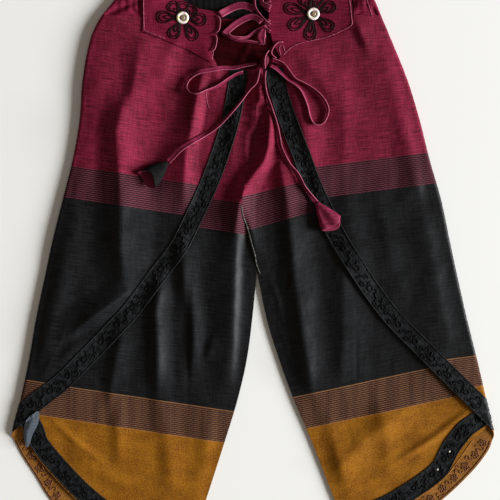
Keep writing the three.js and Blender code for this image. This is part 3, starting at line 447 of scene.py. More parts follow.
def lengths_along(line):
    """How far each point of a line is from its start, along it."""
    return np.concatenate([[0], np.cumsum(spans(line))])


def unit(vectors):
    return vectors / np.maximum(np.linalg.norm(vectors, axis=1), 1e-9)[:, None]


def value_at(along, rows):
    """Values at parts of a length, from one number or from pairs of a part and its value."""
    pairs = np.array(rows if isinstance(rows, list) else [(0, rows)], float)
    return np.interp(along, pairs[:, 0], pairs[:, 1])


def section(rows, column, y):
    """A column of a table at heights y, on the smooth curve through its rows. Column 0 is the height."""
    y = np.asarray(y, float)
    table = np.array(rows, float)
    ys, values = table[:, 0], table[:, column]
    slopes = np.gradient(values, ys)
    slopes[1:-1] = (values[2:] - values[:-2]) / (ys[2:] - ys[:-2])
    k = np.clip(np.searchsorted(-ys, -y, side="right") - 1, 0, len(ys) - 2)
    span = ys[k + 1] - ys[k]
    t = np.clip((y - ys[k]) / span, 0, 1)
    t2, t3 = t * t, t * t * t
    return (
        (2 * t3 - 3 * t2 + 1) * values[k]
        + (t3 - 2 * t2 + t) * span * slopes[k]
        + (3 * t2 - 2 * t3) * values[k + 1]
        + (t3 - t2) * span * slopes[k + 1]
    )


def resample(points, step, closed=False):
    """The same polyline with points evenly apart."""
    points = np.asarray(points, float)
    if closed:
        points = np.vstack([points, points[:1]])
    lengths = lengths_along(points)
    count = max(2, int(round(lengths[-1] / step)))
    at = np.linspace(0, lengths[-1], count + 1)
    even = np.column_stack([np.interp(at, lengths, points[:, k]) for k in range(points.shape[1])])
    return even[:-1] if closed else even


def curve(points, step=2.0, closed=False):
    """Evenly spaced points on a smooth curve through the given ones."""
    p = np.asarray(points, float)
    if closed:
        p = np.vstack([p[-1:], p, p[:2]])
    else:
        p = np.vstack([p[:1], p, p[-1:]])
    t = np.linspace(0, 1, 24, endpoint=False)[:, None]
    runs = []
    for a, b, c, d in zip(p[:-3], p[1:-2], p[2:-1], p[3:]):
        v, w = (c - a) / 2, (d - b) / 2
        runs.append((2 * b - 2 * c + v + w) * t**3 + (3 * c - 3 * b - 2 * v - w) * t**2 + v * t + b)
    if not closed:
        runs.append(p[-2:-1])
    return resample(np.vstack(runs), step, closed)


def normals_along(line):
    """Unit directions in plan to the left of a line's own direction."""
    ahead = unit(np.gradient(line, axis=0))
    return np.column_stack([-ahead[:, 1], ahead[:, 0]])


def offset(line, distance):
    """A plan line moved to the left of its own direction."""
    return line + normals_along(line) * distance


def inner_x(side, y):
    """X of the centre seam, or of the inseam below it, at heights y."""
    y = np.asarray(y, float)
    above = section(CENTRE_SEAM, SEAM_X, y)
    below = section(INSEAMS[side], SEAM_X, y)
    return np.where(y < CROTCH_Y, below, above) + SIGN[side] * GAP / 2


def fold_radius(side, y):
    """Radius of the round outer fold at heights y."""
    return section(SECTIONS[side], LOFT, y) / 2


def fold_x(side, y):
    """Where the flat upper cloth ends and the round outer fold starts."""
    return section(SECTIONS[side], OUTER, y) - SIGN[side] * fold_radius(side, y)


def fold_field(rows, x, y):
    """Height that folds give at plan points. Each falls away from its crest at its own two rates."""
    total = np.zeros_like(x)
    for path, west, east, height, crest in rows:
        path = np.array(path, float)
        lengths, starts = spans(path), lengths_along(path)
        ahead = np.diff(path, axis=0) / lengths[:, None]
        fade = min(30.0, starts[-1] * 0.35)
        best = np.full(x.shape, 1e9)
        along = np.zeros_like(x)
        side = np.zeros_like(x)
        for (ax, ay), (dx, dy), length, start in zip(path, ahead, lengths, starts):
            run = (x - ax) * dx + (y - ay) * dy
            low = -fade if start == 0 else 0.0
            high = length + fade if start + length > starts[-1] - 1e-6 else length
            held = np.clip(run, low, high)
            gap = np.hypot(x - ax - dx * held, y - ay - dy * held)
            closer = gap < best
            best = np.where(closer, gap, best)
            along = np.where(closer, start + held, along)
            side = np.where(closer, dx * (y - ay) - dy * (x - ax), side)
        part = np.clip(along / starts[-1], 0, 1)
        reaches = [np.interp(part, [0, 1], np.broadcast_to(reach, 2)) for reach in (east, west)]
        away = (np.sqrt(best**2 + crest**2) - crest) / np.where(side > 0, *reaches)
        shape = np.clip(1 - away, 0, 1) ** 1.5
        ends = smooth((along + fade) / (2 * fade)) * smooth((starts[-1] + fade - along) / (2 * fade))
        total += height * shape * ends
    return total


def crinkles(x, y):
    """Small creases across the bunched cloth at the middle."""
    total = np.zeros_like(x)
    for level, lean in CRINKLES:
        away = y - level - (x - 4) * lean * 0.12
        total += 1.3 * np.exp(-((away / 2.2) ** 2)) * np.exp(-(((x + 1 - lean * 0.5) / 8) ** 2))
    return total


def ripples(x, y, seed, height, shortest, longest, count=14):
    """A gentle uneven surface: plane waves of seeded directions and lengths."""
    draw = random.Random(seed)
    total = np.zeros_like(x)
    for _ in range(count):
        angle = draw.uniform(0, math.pi)
        number = 2 * math.pi / draw.uniform(shortest, longest)
        phase = draw.uniform(0, 2 * math.pi)
        total += np.sin((x * math.cos(angle) + y * math.sin(angle)) * number + phase)
    return total * height / math.sqrt(count)


def layer_terms(side, x, y):
    """How far the layers spread towards the outer fold, and how folds fade at the seams and there."""
    inner, outer = inner_x(side, y), fold_x(side, y)
    across = (x - inner) / (outer - inner)
    spread = (fold_radius(side, y) * 2 - LIE_FLAT) * smooth((across - 0.45) / 0.5)
    seam = smooth(np.abs(x - inner) / 30)
    seam = seam + (1 - seam) * smooth((y + 10) / 60)
    edge = smooth(np.abs(outer - x) / 28)
    return spread, seam, edge


def front_top(side, x, y):
    """Height of a front panel's upper surface."""
    spread, seam, edge = layer_terms(side, x, y)
    folds = np.maximum(fold_field(FRONT_FOLDS, x, y) + crinkles(x, y), -0.4)
    folds = folds + ripples(x, y, 5, 0.35, 26, 80) + 0.4
    return CLOTH * 2 + GAP + spread / 2 + folds * seam * edge


def petal_top(side, x, y):
    """Height of a petal's upper surface, over the front panel."""
    spread, _, edge = layer_terms(side, x, y)
    folds = fold_field(PETAL_FOLDS[side], x, y)
    folds = np.maximum(folds + ripples(x, y, 11, 0.4, 26, 90) + 0.5, 0)
    return front_top(side, x, y) + GAP + CLOTH + spread / 2 + folds * edge


def over_fold(side, top, points):
    """Places a flat cut that runs over the front, round the outer fold and back under the leg."""
    x, y = points[:, 0], points[:, 1]
    sign = SIGN[side]
    start, radius = fold_x(side, y), fold_radius(side, y)
    run = sign * (x - start)
    turn = np.clip(run / radius, 0, math.pi)
    under = np.maximum(run - math.pi * radius, 0)
    flat_x = np.where(run <= 0, x, start + sign * (radius * np.sin(turn) - under))
    rest = radius + radius * np.cos(turn)
    z = np.where(run <= 0, top(side, x, y), rest)
    return np.column_stack([flat_x, y, z])


def under_x(side, x, y):
    """Where a plan point of the under side comes in the flat cut that over_fold places."""
    sign = SIGN[side]
    start, radius = fold_x(side, y), fold_radius(side, y)
    return start + sign * (math.pi * radius + sign * (start - x))


def inside(points, outline):
    """Which plan points lie inside a closed outline."""
    x, y = points[:, 0], points[:, 1]
    found = np.zeros(len(points), bool)
    for (x1, y1), (x2, y2) in zip(outline, np.roll(outline, -1, axis=0)):
        if y1 == y2:
            continue
        crosses = (y1 > y) != (y2 > y)
        found ^= crosses & (x < (x2 - x1) * (y - y1) / (y2 - y1) + x1)
    return found


def near(points, line, distance):
    """Which points lie within a distance of a dense line's points."""
    found = np.zeros(len(points), bool)
    for start in range(0, len(line), 64):
        part = line[start : start + 64]
        gaps = np.abs(points[:, None, :] - part[None, :, :]).max(axis=2)
        found |= (gaps < distance).any(axis=1)
    return found


def doubled_areas(flat, faces):
    """Twice the signed area of each flat triangle."""
    a, b, c = flat[faces[:, 0]], flat[faces[:, 1]], flat[faces[:, 2]]
    return (b[:, 0] - a[:, 0]) * (c[:, 1] - a[:, 1]) - (b[:, 1] - a[:, 1]) * (c[:, 0] - a[:, 0])


def cut(outline, spacing, fine=None):
    """Triangles that fill a flat outline: about spacing apart, or COARSE where fine says no."""
    outline = resample(outline, spacing, closed=True)
    low, high = outline.min(axis=0), outline.max(axis=0)
    draw = np.random.default_rng(3)
    grids = []
    for step, wanted in ((spacing, True), (COARSE, False)):
        rows = np.arange(low[1], high[1], step * 0.866)
        columns = np.arange(low[0], high[0], step)
        gx, gy = np.meshgrid(columns, rows)
        gx = gx + (np.arange(len(rows)) % 2)[:, None] * step / 2
        grid = np.column_stack([gx.ravel(), gy.ravel()])
        grid += draw.uniform(-0.12, 0.12, grid.shape) * step
        chosen = np.ones(len(grid), bool) if fine is None else fine(grid)
        grids.append(grid[chosen if wanted else ~chosen])
    grid = np.vstack(grids)
    grid = grid[inside(grid, outline)]
    grid = grid[~near(grid, outline, spacing * 0.6)]
    points = np.vstack([outline, grid])
    rim = list(range(len(outline)))
    result = geometry.delaunay_2d_cdt([Vector(p) for p in points], [], [rim], 1, 1e-4)
    flat = np.array([tuple(v) for v in result[0]])
    faces = np.array([f for f in result[2] if len(f) == 3])
    area = doubled_areas(flat, faces)
    faces[area < 0] = faces[area < 0][:, ::-1]
    return flat, faces[np.abs(area) > 1e-6]


def point_normals(points, faces):
    a, b, c = points[faces[:, 0]], points[faces[:, 1]], points[faces[:, 2]]
    face_normals = np.cross(b - a, c - a)
    normals = np.zeros_like(points)
    for k in range(3):
        np.add.at(normals, faces[:, k], face_normals)
    return unit(normals)


def add_object(name, data):
    """An object of the scene that shows a mesh, light or camera."""
    made = bpy.data.objects.new(name, data)
    bpy.context.scene.collection.objects.link(made)
    return made


def make_mesh(name, points, faces, cloth, looks, slot, node=None, inner_faces=None):
    """A piece from points in millimetres, with the cloth's own coordinates as a UV map, in metres."""
    mesh = bpy.data.meshes.new(name)
    mesh.from_pydata((np.asarray(points) * MM).tolist(), [], faces)
    layer = mesh.uv_layers.new(name="Cloth")
    corners = np.empty(len(mesh.loops), np.int32)
    mesh.loops.foreach_get("vertex_index", corners)
    layer.data.foreach_set("uv", (np.asarray(cloth)[corners] * MM).astype(np.float32).ravel())
    for look in looks:
        mesh.materials.append(look)
    if inner_faces is not None:
        slots = np.zeros(len(mesh.polygons), np.int32)
        slots[inner_faces[0] : inner_faces[1]] = 1
        mesh.polygons.foreach_set("material_index", slots)
    mesh.shade_smooth()
    mesh.update()
    piece = add_object(name, mesh)
    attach(piece, "root")
    if node is not None:
        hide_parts(node)
    return piece


def make_shell(name, points, faces, cloth, looks, slot, thickness=SHELL, node=None):
    """A thin closed shell of cloth under the given outer surface."""
    count = len(points)
    inner = points - point_normals(points, faces) * thickness
    edges = np.vstack([faces[:, [0, 1]], faces[:, [1, 2]], faces[:, [2, 0]]])
    keys = edges[:, 0].astype(np.int64) * count + edges[:, 1]
    back = edges[:, 1].astype(np.int64) * count + edges[:, 0]
    rim = edges[~np.isin(keys, back)]
    rims = np.column_stack([rim[:, 1], rim[:, 0], rim[:, 0] + count, rim[:, 1] + count])
    all_faces = faces.tolist() + (faces[:, ::-1] + count).tolist() + rims.tolist()
    inner_faces = (len(faces), 2 * len(faces)) if len(looks) > 1 else None
    both, both_cloth = np.vstack([points, inner]), np.vstack([cloth, cloth])
    piece = make_mesh(name, both, all_faces, both_cloth, looks, slot, node, inner_faces)
    mesh = piece.data
    ends = np.empty(len(mesh.edges) * 2, np.int32)
    mesh.edges.foreach_get("vertices", ends)
    ends = ends.reshape(-1, 2)
    low, high = ends.min(axis=1) % count, ends.max(axis=1) % count
    same_layer = (ends[:, 0] < count) == (ends[:, 1] < count)
    rim_keys = set(map(tuple, np.sort(rim, axis=1).tolist()))
    pairs = zip(np.minimum(low, high).tolist(), np.maximum(low, high).tolist(), same_layer.tolist())
    sharp = np.array([same and (a, b) in rim_keys for a, b, same in pairs])
    marks = mesh.attributes.new("sharp_edge", "BOOLEAN", "EDGE")
    marks.data.foreach_set("value", sharp)
    return piece


def panel(node, flat, faces, points, cloth, looks, slot, thickness=SHELL, rests_on=None):
    """The sheet of cloth that stands for a solid. Later pieces can rest on it."""
    piece = make_shell(f"{node}_cloth", points, faces, cloth, looks, slot, thickness, node)
    lay(points, faces)
    return piece


def band_height(panel, x, y):
    """Height on the cloth at a plan point, from the lines on which the woven bands lie."""
    rows = BANDS[panel]
    lines = [at0 + slope * x for _, at0, slope in rows]
    result = rows[0][0] + (y - lines[0])
    for (top, _, _), (low, _, _), above, below in zip(rows, rows[1:], lines, lines[1:]):
        between = low + (y - below) / (above - below) * (top - low)
        result = np.where(y <= above, between, result)
    return np.where(y <= lines[-1], rows[-1][0] + (y - lines[-1]), result)


def srgb(red, green, blue):
    """A linear colour from display values of 0 to 255."""
    values = [v / 255 for v in (red, green, blue)]
    return tuple(v / 12.92 if v <= 0.04045 else ((v + 0.055) / 1.055) ** 2.4 for v in values) + (1.0,)


class Graph:
    """A material under construction: short calls that add nodes and return the socket they give."""

    def __init__(self, name, roughness, specular=0.3, sheen=0.0, sheen_tint=(1, 1, 1, 1)):
        self.material = bpy.data.materials.new(name)
        self.material.use_nodes = True
        self.tree = self.material.node_tree
        self.tree.nodes.clear()
        self.output = self.tree.nodes.new("ShaderNodeOutputMaterial")
        self.surface = self.tree.nodes.new("ShaderNodeBsdfPrincipled")
        self.tree.links.new(self.surface.outputs[0], self.output.inputs[0])
        self.surface.inputs["Roughness"].default_value = roughness
        self.surface.inputs["Specular IOR Level"].default_value = specular
        self.surface.inputs["Sheen Weight"].default_value = sheen
        self.surface.inputs["Sheen Roughness"].default_value = 0.4
        self.surface.inputs["Sheen Tint"].default_value = sheen_tint

    def put(self, socket, value):
        if isinstance(value, bpy.types.NodeSocket):
            self.tree.links.new(value, socket)
        else:
            socket.default_value = value

    def node(self, kind, *values, **settings):
        made = self.tree.nodes.new(kind)
        for key, value in settings.items():
            setattr(made, key, value)
        for socket, value in zip(made.inputs, values):
            if value is not None:
                self.put(socket, value)
        return made

    def math(self, operation, a, b=0.0):
        return self.node("ShaderNodeMath", a, b, operation=operation).outputs[0]

    def times(self, a, b):
        return self.math("MULTIPLY", a, b)

    def plus(self, a, b):
        return self.math("ADD", a, b)

    def minus(self, a, b):
        return self.math("SUBTRACT", a, b)

    def weighted(self, *parts):
        """The sum of sockets, each times its weight."""
        total = None
        for socket, weight in parts:
            term = self.times(socket, weight)
            total = term if total is None else self.plus(total, term)
        return total

    def mix(self, factor, a, b):
        made = self.tree.nodes.new("ShaderNodeMix")
        made.data_type = "RGBA"
        self.put(made.inputs[0], factor)
        self.put(made.inputs[6], a)
        self.put(made.inputs[7], b)
        return made.outputs[2]

    def ramp(self, value, low, high):
        made = self.node("ShaderNodeMapRange", value, low, high, 0.0, 1.0, interpolation_type="SMOOTHSTEP")
        return made.outputs[0]

    def cloth(self):
        """The cloth's own coordinates in millimetres: across the weft, and up the warp."""
        uv = self.node("ShaderNodeUVMap", uv_map="Cloth").outputs[0]
        apart = self.node("ShaderNodeSeparateXYZ", uv)
        across = self.times(apart.outputs[0], 1000.0)
        return across, self.times(apart.outputs[1], 1000.0)

    def noise(self, across, up, across_scale, up_scale, detail=2.0, seed=0.0):
        """Noise stretched over the cloth, by its number of features for each millimetre."""
        x = self.times(across, across_scale)
        y = self.times(up, up_scale)
        vector = self.node("ShaderNodeCombineXYZ", x, y, seed).outputs[0]
        made = self.tree.nodes.new("ShaderNodeTexNoise")
        self.put(made.inputs["Vector"], vector)
        made.inputs["Scale"].default_value = 1.0
        made.inputs["Detail"].default_value = detail
        return made.outputs[0]

    def bump(self, height, distance, strength=1.0):
        made = self.tree.nodes.new("ShaderNodeBump")
        made.inputs["Strength"].default_value = strength
        made.inputs["Distance"].default_value = distance * MM
        self.put(made.inputs["Height"], height)
        self.put(self.surface.inputs["Normal"], made.outputs[0])

    def done(self, colour):
        self.put(self.surface.inputs["Base Color"], colour)
        return self.material


def weave_factor(g, across, up):
    """How light the yarn is at a place: slubs along the weft, streaks along the warp, and fine yarns."""
    weft = g.noise(across, up, 0.045, 0.85, 3.0, 1.0)
    warp = g.noise(across, up, 0.6, 0.05, 3.0, 2.0)
    fine = g.noise(across, up, 0.9, 1.1, 1.0, 3.0)
    broad = g.noise(across, up, 0.045, 0.012, 2.0, 4.0)
    return g.weighted((weft, 0.36), (warp, 0.16), (fine, 0.32), (broad, 0.16))


def yarn_bump(g, across, up, factor):
    """The yarns' relief with faint puckers of the cloth."""
    puckers = g.noise(across, up, 0.05, 0.035, 2.0, 9.0)
    return g.weighted((factor, 0.3), (puckers, 1.6))


# The cloth from the hem up: mustard, a lined border, black, a second lined border and wine. Each has a
# dark and a light yarn, and the edges are the heights on the cloth where one gives way to the next.
BAND_SHADES = [
    (srgb(90, 45, 0), srgb(160, 105, 20)),
    (srgb(34, 16, 16), srgb(48, 26, 24)),
    (srgb(2, 2, 3), srgb(31, 32, 34)),
    (srgb(26, 4, 9), srgb(44, 12, 20)),
    (srgb(60, 0, 8), srgb(138, 33, 64)),
]
WRONG_MUSTARD = (srgb(92, 52, 16), srgb(164, 112, 48))
BAND_EDGES = [-227.0, -184.0, 60.0, 102.0]
LINE_PITCH, DASH = 2.7, 7.0


def broken_lines(g, across, height):
    """Fine broken lines that are woven across a border: where a line lies, and where it is whole."""
    row = g.math("DIVIDE", g.minus(height, BAND_EDGES[2]), LINE_PITCH)
    place = g.math("FRACT", row)
    line = g.times(g.ramp(place, 0.14, 0.44), g.ramp(place, 0.86, 0.56))
    step = g.times(g.math("FLOOR", row), 0.5)
    along = g.math("FRACT", g.plus(g.math("DIVIDE", across, DASH), step))
    broken = g.times(g.ramp(along, 0.0, 0.26), g.ramp(along, 1.0, 0.74))
    return line, broken


def banded_cloth(name, fade=1.0, wrong_side=False):
    """The trousers' cloth. The lines are fainter on its wrong side, and the mustard paler."""
    g = Graph(name, 0.7, 0.13)
    across, up = g.cloth()
    factor = weave_factor(g, across, up)
    weave = g.ramp(factor, 0.37, 0.63)
    specks = g.ramp(g.noise(across, up, 0.48, 0.66, 3.0, 11.0), 0.34, 0.66)
    blotches = g.ramp(g.noise(across, up, 0.035, 0.05, 2.0, 12.0), 0.34, 0.66)
    speckled = g.weighted((weave, 0.3), (specks, 0.46), (blotches, 0.24))
    shades = [WRONG_MUSTARD if wrong_side else BAND_SHADES[0]] + BAND_SHADES[1:]
    wander = g.times(g.minus(g.noise(across, up, 0.5, 0.0, 1.0, 5.0), 0.5), 0.9)
    height = g.plus(up, wander)
    masks = [g.math("GREATER_THAN", height, edge) for edge in BAND_EDGES]
    colours = []
    for tone in (0, 1):
        colour = shades[0][tone]
        for mask, shade in zip(masks, shades[1:]):
            colour = g.mix(mask, colour, shade[tone])
        colours.append(colour)
    light = g.mix(masks[0], speckled, weave)
    colour = g.mix(light, colours[0], colours[1])
    black_part = g.minus(masks[1], masks[2])
    g.put(g.surface.inputs["Roughness"], g.minus(0.78, g.times(black_part, 0.34)))

    line, broken = broken_lines(g, across, height)
    columns = g.ramp(g.noise(across, up, 0.11, 0.006, 1.0, 7.0), 0.36, 0.62)
    strength = g.times(line, g.plus(g.weighted((broken, 0.34), (columns, 0.34)), 0.26))
    low_edge, low_top, high_edge, high_top = BAND_EDGES
    for low, high, yarn in ((low_edge, low_top, srgb(134, 94, 64)), (high_edge, high_top, srgb(112, 56, 70))):
        band = g.times(g.math("GREATER_THAN", height, low), g.math("LESS_THAN", height, high))
        shown = g.times(g.times(band, strength), 0.85 * fade)
        colour = g.mix(shown, colour, yarn)
    for edge, yarn in ((low_edge, srgb(150, 100, 60)), (low_top, srgb(140, 98, 62))):
        close = g.math("LESS_THAN", g.math("ABSOLUTE", g.minus(height, edge)), 0.5)
        colour = g.mix(g.times(close, 0.8 * fade), colour, yarn)
    g.bump(yarn_bump(g, across, up, factor), 0.5)
    return g.done(colour)


def plain_cloth(name, dark, light, roughness=0.75, specular=0.12, sheen=0.03):
    """Handwoven cloth of one colour, between a dark and a light yarn."""
    g = Graph(name, roughness, specular, sheen, srgb(200, 150, 170))
    across, up = g.cloth()
    factor = weave_factor(g, across, up)
    g.bump(yarn_bump(g, across, up, factor), 0.5)
    return g.done(g.mix(g.ramp(factor, 0.34, 0.66), dark, light))


def border_cloth(name):
    """The satin-faced black border, with faint crumples. Its colour is lighter where the crumples rise:
    partly uneven tone, partly a painted sheen on their crests.
    """
    g = Graph(name, 0.5, 0.12)
    across, up = g.cloth()
    crumple = g.noise(across, up, 0.16, 0.16, 3.0, 4.0)
    yarn = g.noise(across, up, 0.9, 0.3, 1.0, 6.0)
    g.bump(g.weighted((crumple, 1.4), (yarn, 0.2)), 0.8)
    # Lighter on the crumples' crests: partly uneven tone, partly a painted sheen
    return g.done(g.mix(g.ramp(crumple, 0.35, 0.7), srgb(11, 12, 13), srgb(32, 34, 37)))


def thread(name, dark, light, roughness=0.55, specular=0.15):
    """Thread, braid or cord with a fine twist."""
    g = Graph(name, roughness, specular)
    across, up = g.cloth()
    twist = g.math("SINE", g.times(g.plus(up, across), 2.2))
    uneven = g.noise(across, up, 0.3, 0.3, 2.0, 8.0)
    g.bump(twist, 0.06)
    return g.done(g.mix(g.ramp(uneven, 0.3, 0.7), dark, light))


def tape_painted_edge_highlight(name):
    """Folded tape: its rolled edges are coloured lighter than its middle, a painted highlight of the light
    they catch.
    """
    g = Graph(name, 0.6, 0.2, 0.03, srgb(220, 170, 190))
    across, up = g.cloth()
    # Painted highlight: the rolled edges are coloured lighter than the middle
    edge = g.ramp(g.math("ABSOLUTE", across), 0.78, 0.86)
    uneven = g.noise(across, up, 0.5, 0.25, 2.0, 8.0)
    dark = g.mix(uneven, srgb(80, 7, 32), srgb(142, 36, 74))
    light = g.mix(uneven, srgb(126, 44, 70), srgb(176, 92, 116))
    return g.done(g.mix(edge, dark, light))


def pearl(name):
    """The button's pearly rim, with soft patches of white, green and rose."""
    g = Graph(name, 0.18, 0.6)
    g.surface.inputs["Coat Weight"].default_value = 0.5
    across, up = g.cloth()
    patches = g.noise(across, up, 0.22, 0.22, 1.0, 2.0)
    first = g.mix(g.ramp(patches, 0.35, 0.5), srgb(214, 208, 128), srgb(240, 236, 230))
    return g.done(g.mix(g.ramp(patches, 0.5, 0.68), first, srgb(226, 162, 188)))


def bead(name):
    g = Graph(name, 0.35, 0.5)
    across, up = g.cloth()
    patches = g.noise(across, up, 0.6, 0.6, 2.0, 3.0)
    return g.done(g.mix(patches, srgb(96, 80, 56), srgb(158, 136, 104)))


def rings_mesh(rings, closed_ends=True):
    """Faces through rings of equal numbers of points."""
    count, size = len(rings), len(rings[0])
    faces = []
    for j in range(count - 1):
        a, b = j * size, (j + 1) * size
        for i in range(size):
            k = (i + 1) % size
            faces.append((a + i, a + k, b + k, b + i))
    if closed_ends:
        faces.append(tuple(range(size))[::-1])
        faces.append(tuple((count - 1) * size + i for i in range(size)))
    return np.vstack(rings), faces


def lathe(profile, count, x, y, z):
    """A turned form standing on a point."""
    angles = np.linspace(0, 2 * math.pi, count, endpoint=False)
    rings = [[(x + r * math.cos(a), y + r * math.sin(a), z + h) for a in angles] for r, h in profile]
    return rings_mesh(rings, closed_ends=False)


def tube(line, radius, sides):
    """Rings of a round tube along a 3-D line."""
    ahead = unit(np.gradient(line, axis=0))
    side = unit(np.column_stack([-ahead[:, 1], ahead[:, 0], np.zeros(len(line))]))
    up = np.cross(ahead, side)
    angles = np.linspace(0, 2 * math.pi, sides, endpoint=False)
    return [
        p + radius * (np.cos(angles)[:, None] * s + np.sin(angles)[:, None] * u)
        for p, s, u in zip(line, side, up)
    ]


def joined(parts):
    """One set of points, faces and cloth coordinates from several."""
    points, faces, cloth, start = [], [], [], 0
    for p, f, c in parts:
        points.append(p)
        cloth.append(c)
        faces.extend([tuple(v + start for v in face) for face in f])
        start += len(p)
    return np.vstack(points), faces, np.vstack(cloth)


def tube_part(line, radius, sides=5):
    """A tube's points, faces and cloth coordinates."""
    points, faces = rings_mesh(tube(line, radius, sides))
    around = np.tile(np.arange(sides), len(line)) * 1.0
    return points, faces, np.column_stack([around, np.repeat(lengths_along(line), sides)])


def wrap_cut(side):
    """Outline of a wrap panel's flat cut, and of the stretch of its hem under the leg."""
    sign = SIGN[side]
    top = PETAL_TOP[side]
    free = curve(PETAL_EDGE[side])
    free = free[(free[:, 1] <= top[0][1]) & (sign * free[:, 0] < sign * fold_x(side, free[:, 1]))]
    hem = curve(WRAP_HEM[side])
    hem = hem[sign * hem[:, 0] < sign * fold_x(side, hem[:, 1])]
    hem = hem[sign * (hem[:, 0] - inner_x(side, hem[:, 1])) > 0]
    hem_under = np.column_stack([under_x(side, hem[:, 0], hem[:, 1]), hem[:, 1]])
    seam_y = np.append(np.arange(hem[-1, 1] + 1, PANEL_TOP, 5), PANEL_TOP)
    seam = np.column_stack([under_x(side, inner_x(side, seam_y), seam_y), seam_y])
    outline = np.vstack([free, hem_under, seam, np.array(top[::-1], float)])
    return outline, free, hem


def edge_x(side, y):
    """X of a petal's free edge at heights y."""
    line = curve(PETAL_EDGE[side])[::-1]
    return np.interp(y, line[:, 1], line[:, 0])


def front_cut(side):
    """Outline of a front panel's flat cut, and its hem."""
    sign = SIGN[side]
    hem = curve(FRONT_HEM[side])
    hem = hem[sign * hem[:, 0] < sign * fold_x(side, hem[:, 1]) - 1]
    hem = hem[sign * (hem[:, 0] - inner_x(side, hem[:, 1])) > 0]
    outer_y = np.arange(FRONT_TOP, hem[0, 1], -5)
    outer = np.column_stack([fold_x(side, outer_y) - sign, outer_y])
    seam_y = np.append(np.arange(hem[-1, 1] + 1, FRONT_TOP, 5), FRONT_TOP)
    seam = np.column_stack([inner_x(side, seam_y), seam_y])
    return np.vstack([outer, hem, seam]), hem


def strip_cut(side, line, inward, beyond=0.0):
    """Outline of a border along an edge line, ending at the outer fold's start or a way beyond it."""
    sign = SIGN[side]
    inner = offset(line, inward * TRIM_WIDTH)
    strip = np.vstack([line, inner[::-1]])
    limit = sign * fold_x(side, strip[:, 1]) + beyond
    strip[:, 0] = sign * np.minimum(sign * strip[:, 0], limit)
    return strip


def border_coordinates(points, line):
    """Cloth coordinates on a border: across it, and along its edge line."""
    lengths = lengths_along(line)
    nearest = np.empty(len(points), int)
    for start in range(0, len(points), 4000):
        part = points[start : start + 4000]
        gaps = ((part[:, None, :] - line[None, :, :]) ** 2).sum(axis=2)
        nearest[start : start + 4000] = gaps.argmin(axis=1)
    away = np.linalg.norm(points - line[nearest], axis=1)
    return np.column_stack([away, lengths[nearest]])


DOWN = Vector((0, 0, -1))
ground = []


def lay(points, faces):
    """Adds a surface to those that later pieces rest on."""
    tree = BVHTree.FromPolygons([Vector(p) for p in points], [tuple(f) for f in faces])
    ground.append((points[:, :2].min(axis=0), points[:, :2].max(axis=0), tree))


def height_at(x, y):
    """Height of the highest surface laid so far at a plan point."""
    best = 0.0
    for low, high, tree in ground:
        if low[0] <= x <= high[0] and low[1] <= y <= high[1]:
            hit = tree.ray_cast(Vector((x, y, 100)), DOWN)[0]
            if hit is not None:
                best = max(best, hit.z)
    return best


def resting(line, half, ease=10):
    """Heights at which a strip along a plan line lies on everything under it, bridging small dips."""
    normal = normals_along(line)
    half = np.broadcast_to(half, len(line))
    raw = np.array([
        max(height_at(*(p + n * h * s)) for s in (-1, -0.5, 0, 0.5, 1)) for p, n, h in zip(line, normal, half)
    ])
    padded = np.concatenate([raw[:1], raw, raw[-1:]])
    raw = np.maximum(np.maximum(padded[:-2], padded[2:]), raw)
    z = raw.copy()
    for _ in range(ease):
        padded = np.concatenate([z[:1], z, z[-1:]])
        z = np.maximum(raw, (padded[:-2] + padded[2:]) / 2)
    return z


def on_ground(line, lift=0.0, half=0.5):
    """A plan line set on what lies under it."""
    return np.column_stack([line, resting(line, half, 2) + lift])


def tape(route, width, roll):
    """A folded tape laid along a plan route: its rings of points."""
    line = curve(route, TAPE_STEP)
    along = np.linspace(0, 1, len(line))
    turn = np.radians(value_at(along, roll))
    widths = value_at(along, width)
    half = widths / 2 * np.abs(np.cos(turn)) + 0.7 * np.abs(np.sin(turn))
    base = resting(line, half) + TAPE_LIFT
    rings = []
    for p, n, t, z, w in zip(line, normals_along(line), turn, base, widths):
        flat_across, flat_rise = (np.array(TAPE_SECTION, float) * (w / 2, 1)).T
        across = flat_across * math.cos(t) - flat_rise * math.sin(t)
        rise = flat_across * math.sin(t) + flat_rise * math.cos(t)
        rise -= rise.min()
        rings.append(np.column_stack([p[0] + n[0] * across, p[1] + n[1] * across, z + rise]))
    return rings


def tape_piece(node, width, roll, route):
    """A tape that stands for a solid, and the line along its middle."""
    rings = tape(route, width, roll)
    points, faces = rings_mesh(rings)
    across = np.tile([s for s, _ in TAPE_SECTION], len(rings))
    cloth = np.column_stack([across, np.repeat(np.arange(len(rings)) * 2.0, len(TAPE_SECTION))])
    piece = make_mesh(f"{node}_tape", points, faces, cloth, [tape_cloth], "wine_tape", node)
    lay(points, faces)
    return piece, np.array([ring.mean(axis=0) for ring in rings])


def on_strip(line, inward, along, depth):
    """Plan points at distances along an edge line and in from it."""
    lengths = lengths_along(line)
    normal = normals_along(line)
    x, y, nx, ny = (np.interp(along, lengths, values) for values in (*line.T, *normal.T))
    return np.column_stack([x + nx * inward * depth, y + ny * inward * depth])


def within(side, route):
    """Which plan points lie on the flat upper cloth, inside the outer fold."""
    return SIGN[side] * (fold_x(side, route[:, 1]) - route[:, 0]) > 1


def flat_stroke(line, radius):
    """A stroke of close stitches: a low round ridge along a 3-D line."""
    points, faces, cloth = tube_part(line, radius, 6)
    centre = np.repeat(line[:, 2], 6)
    points[:, 2] = centre + (points[:, 2] - centre) * 0.6
    return points, faces, cloth


def placed(stroke, turn, size, along, depth):
    """A stroke turned and sized, at a distance along a border and in from its edge."""
    c, s = math.cos(turn) * size, math.sin(turn) * size
    x, y = np.array(stroke, float).T
    return along + x * c - y * s, depth + x * s + y * c


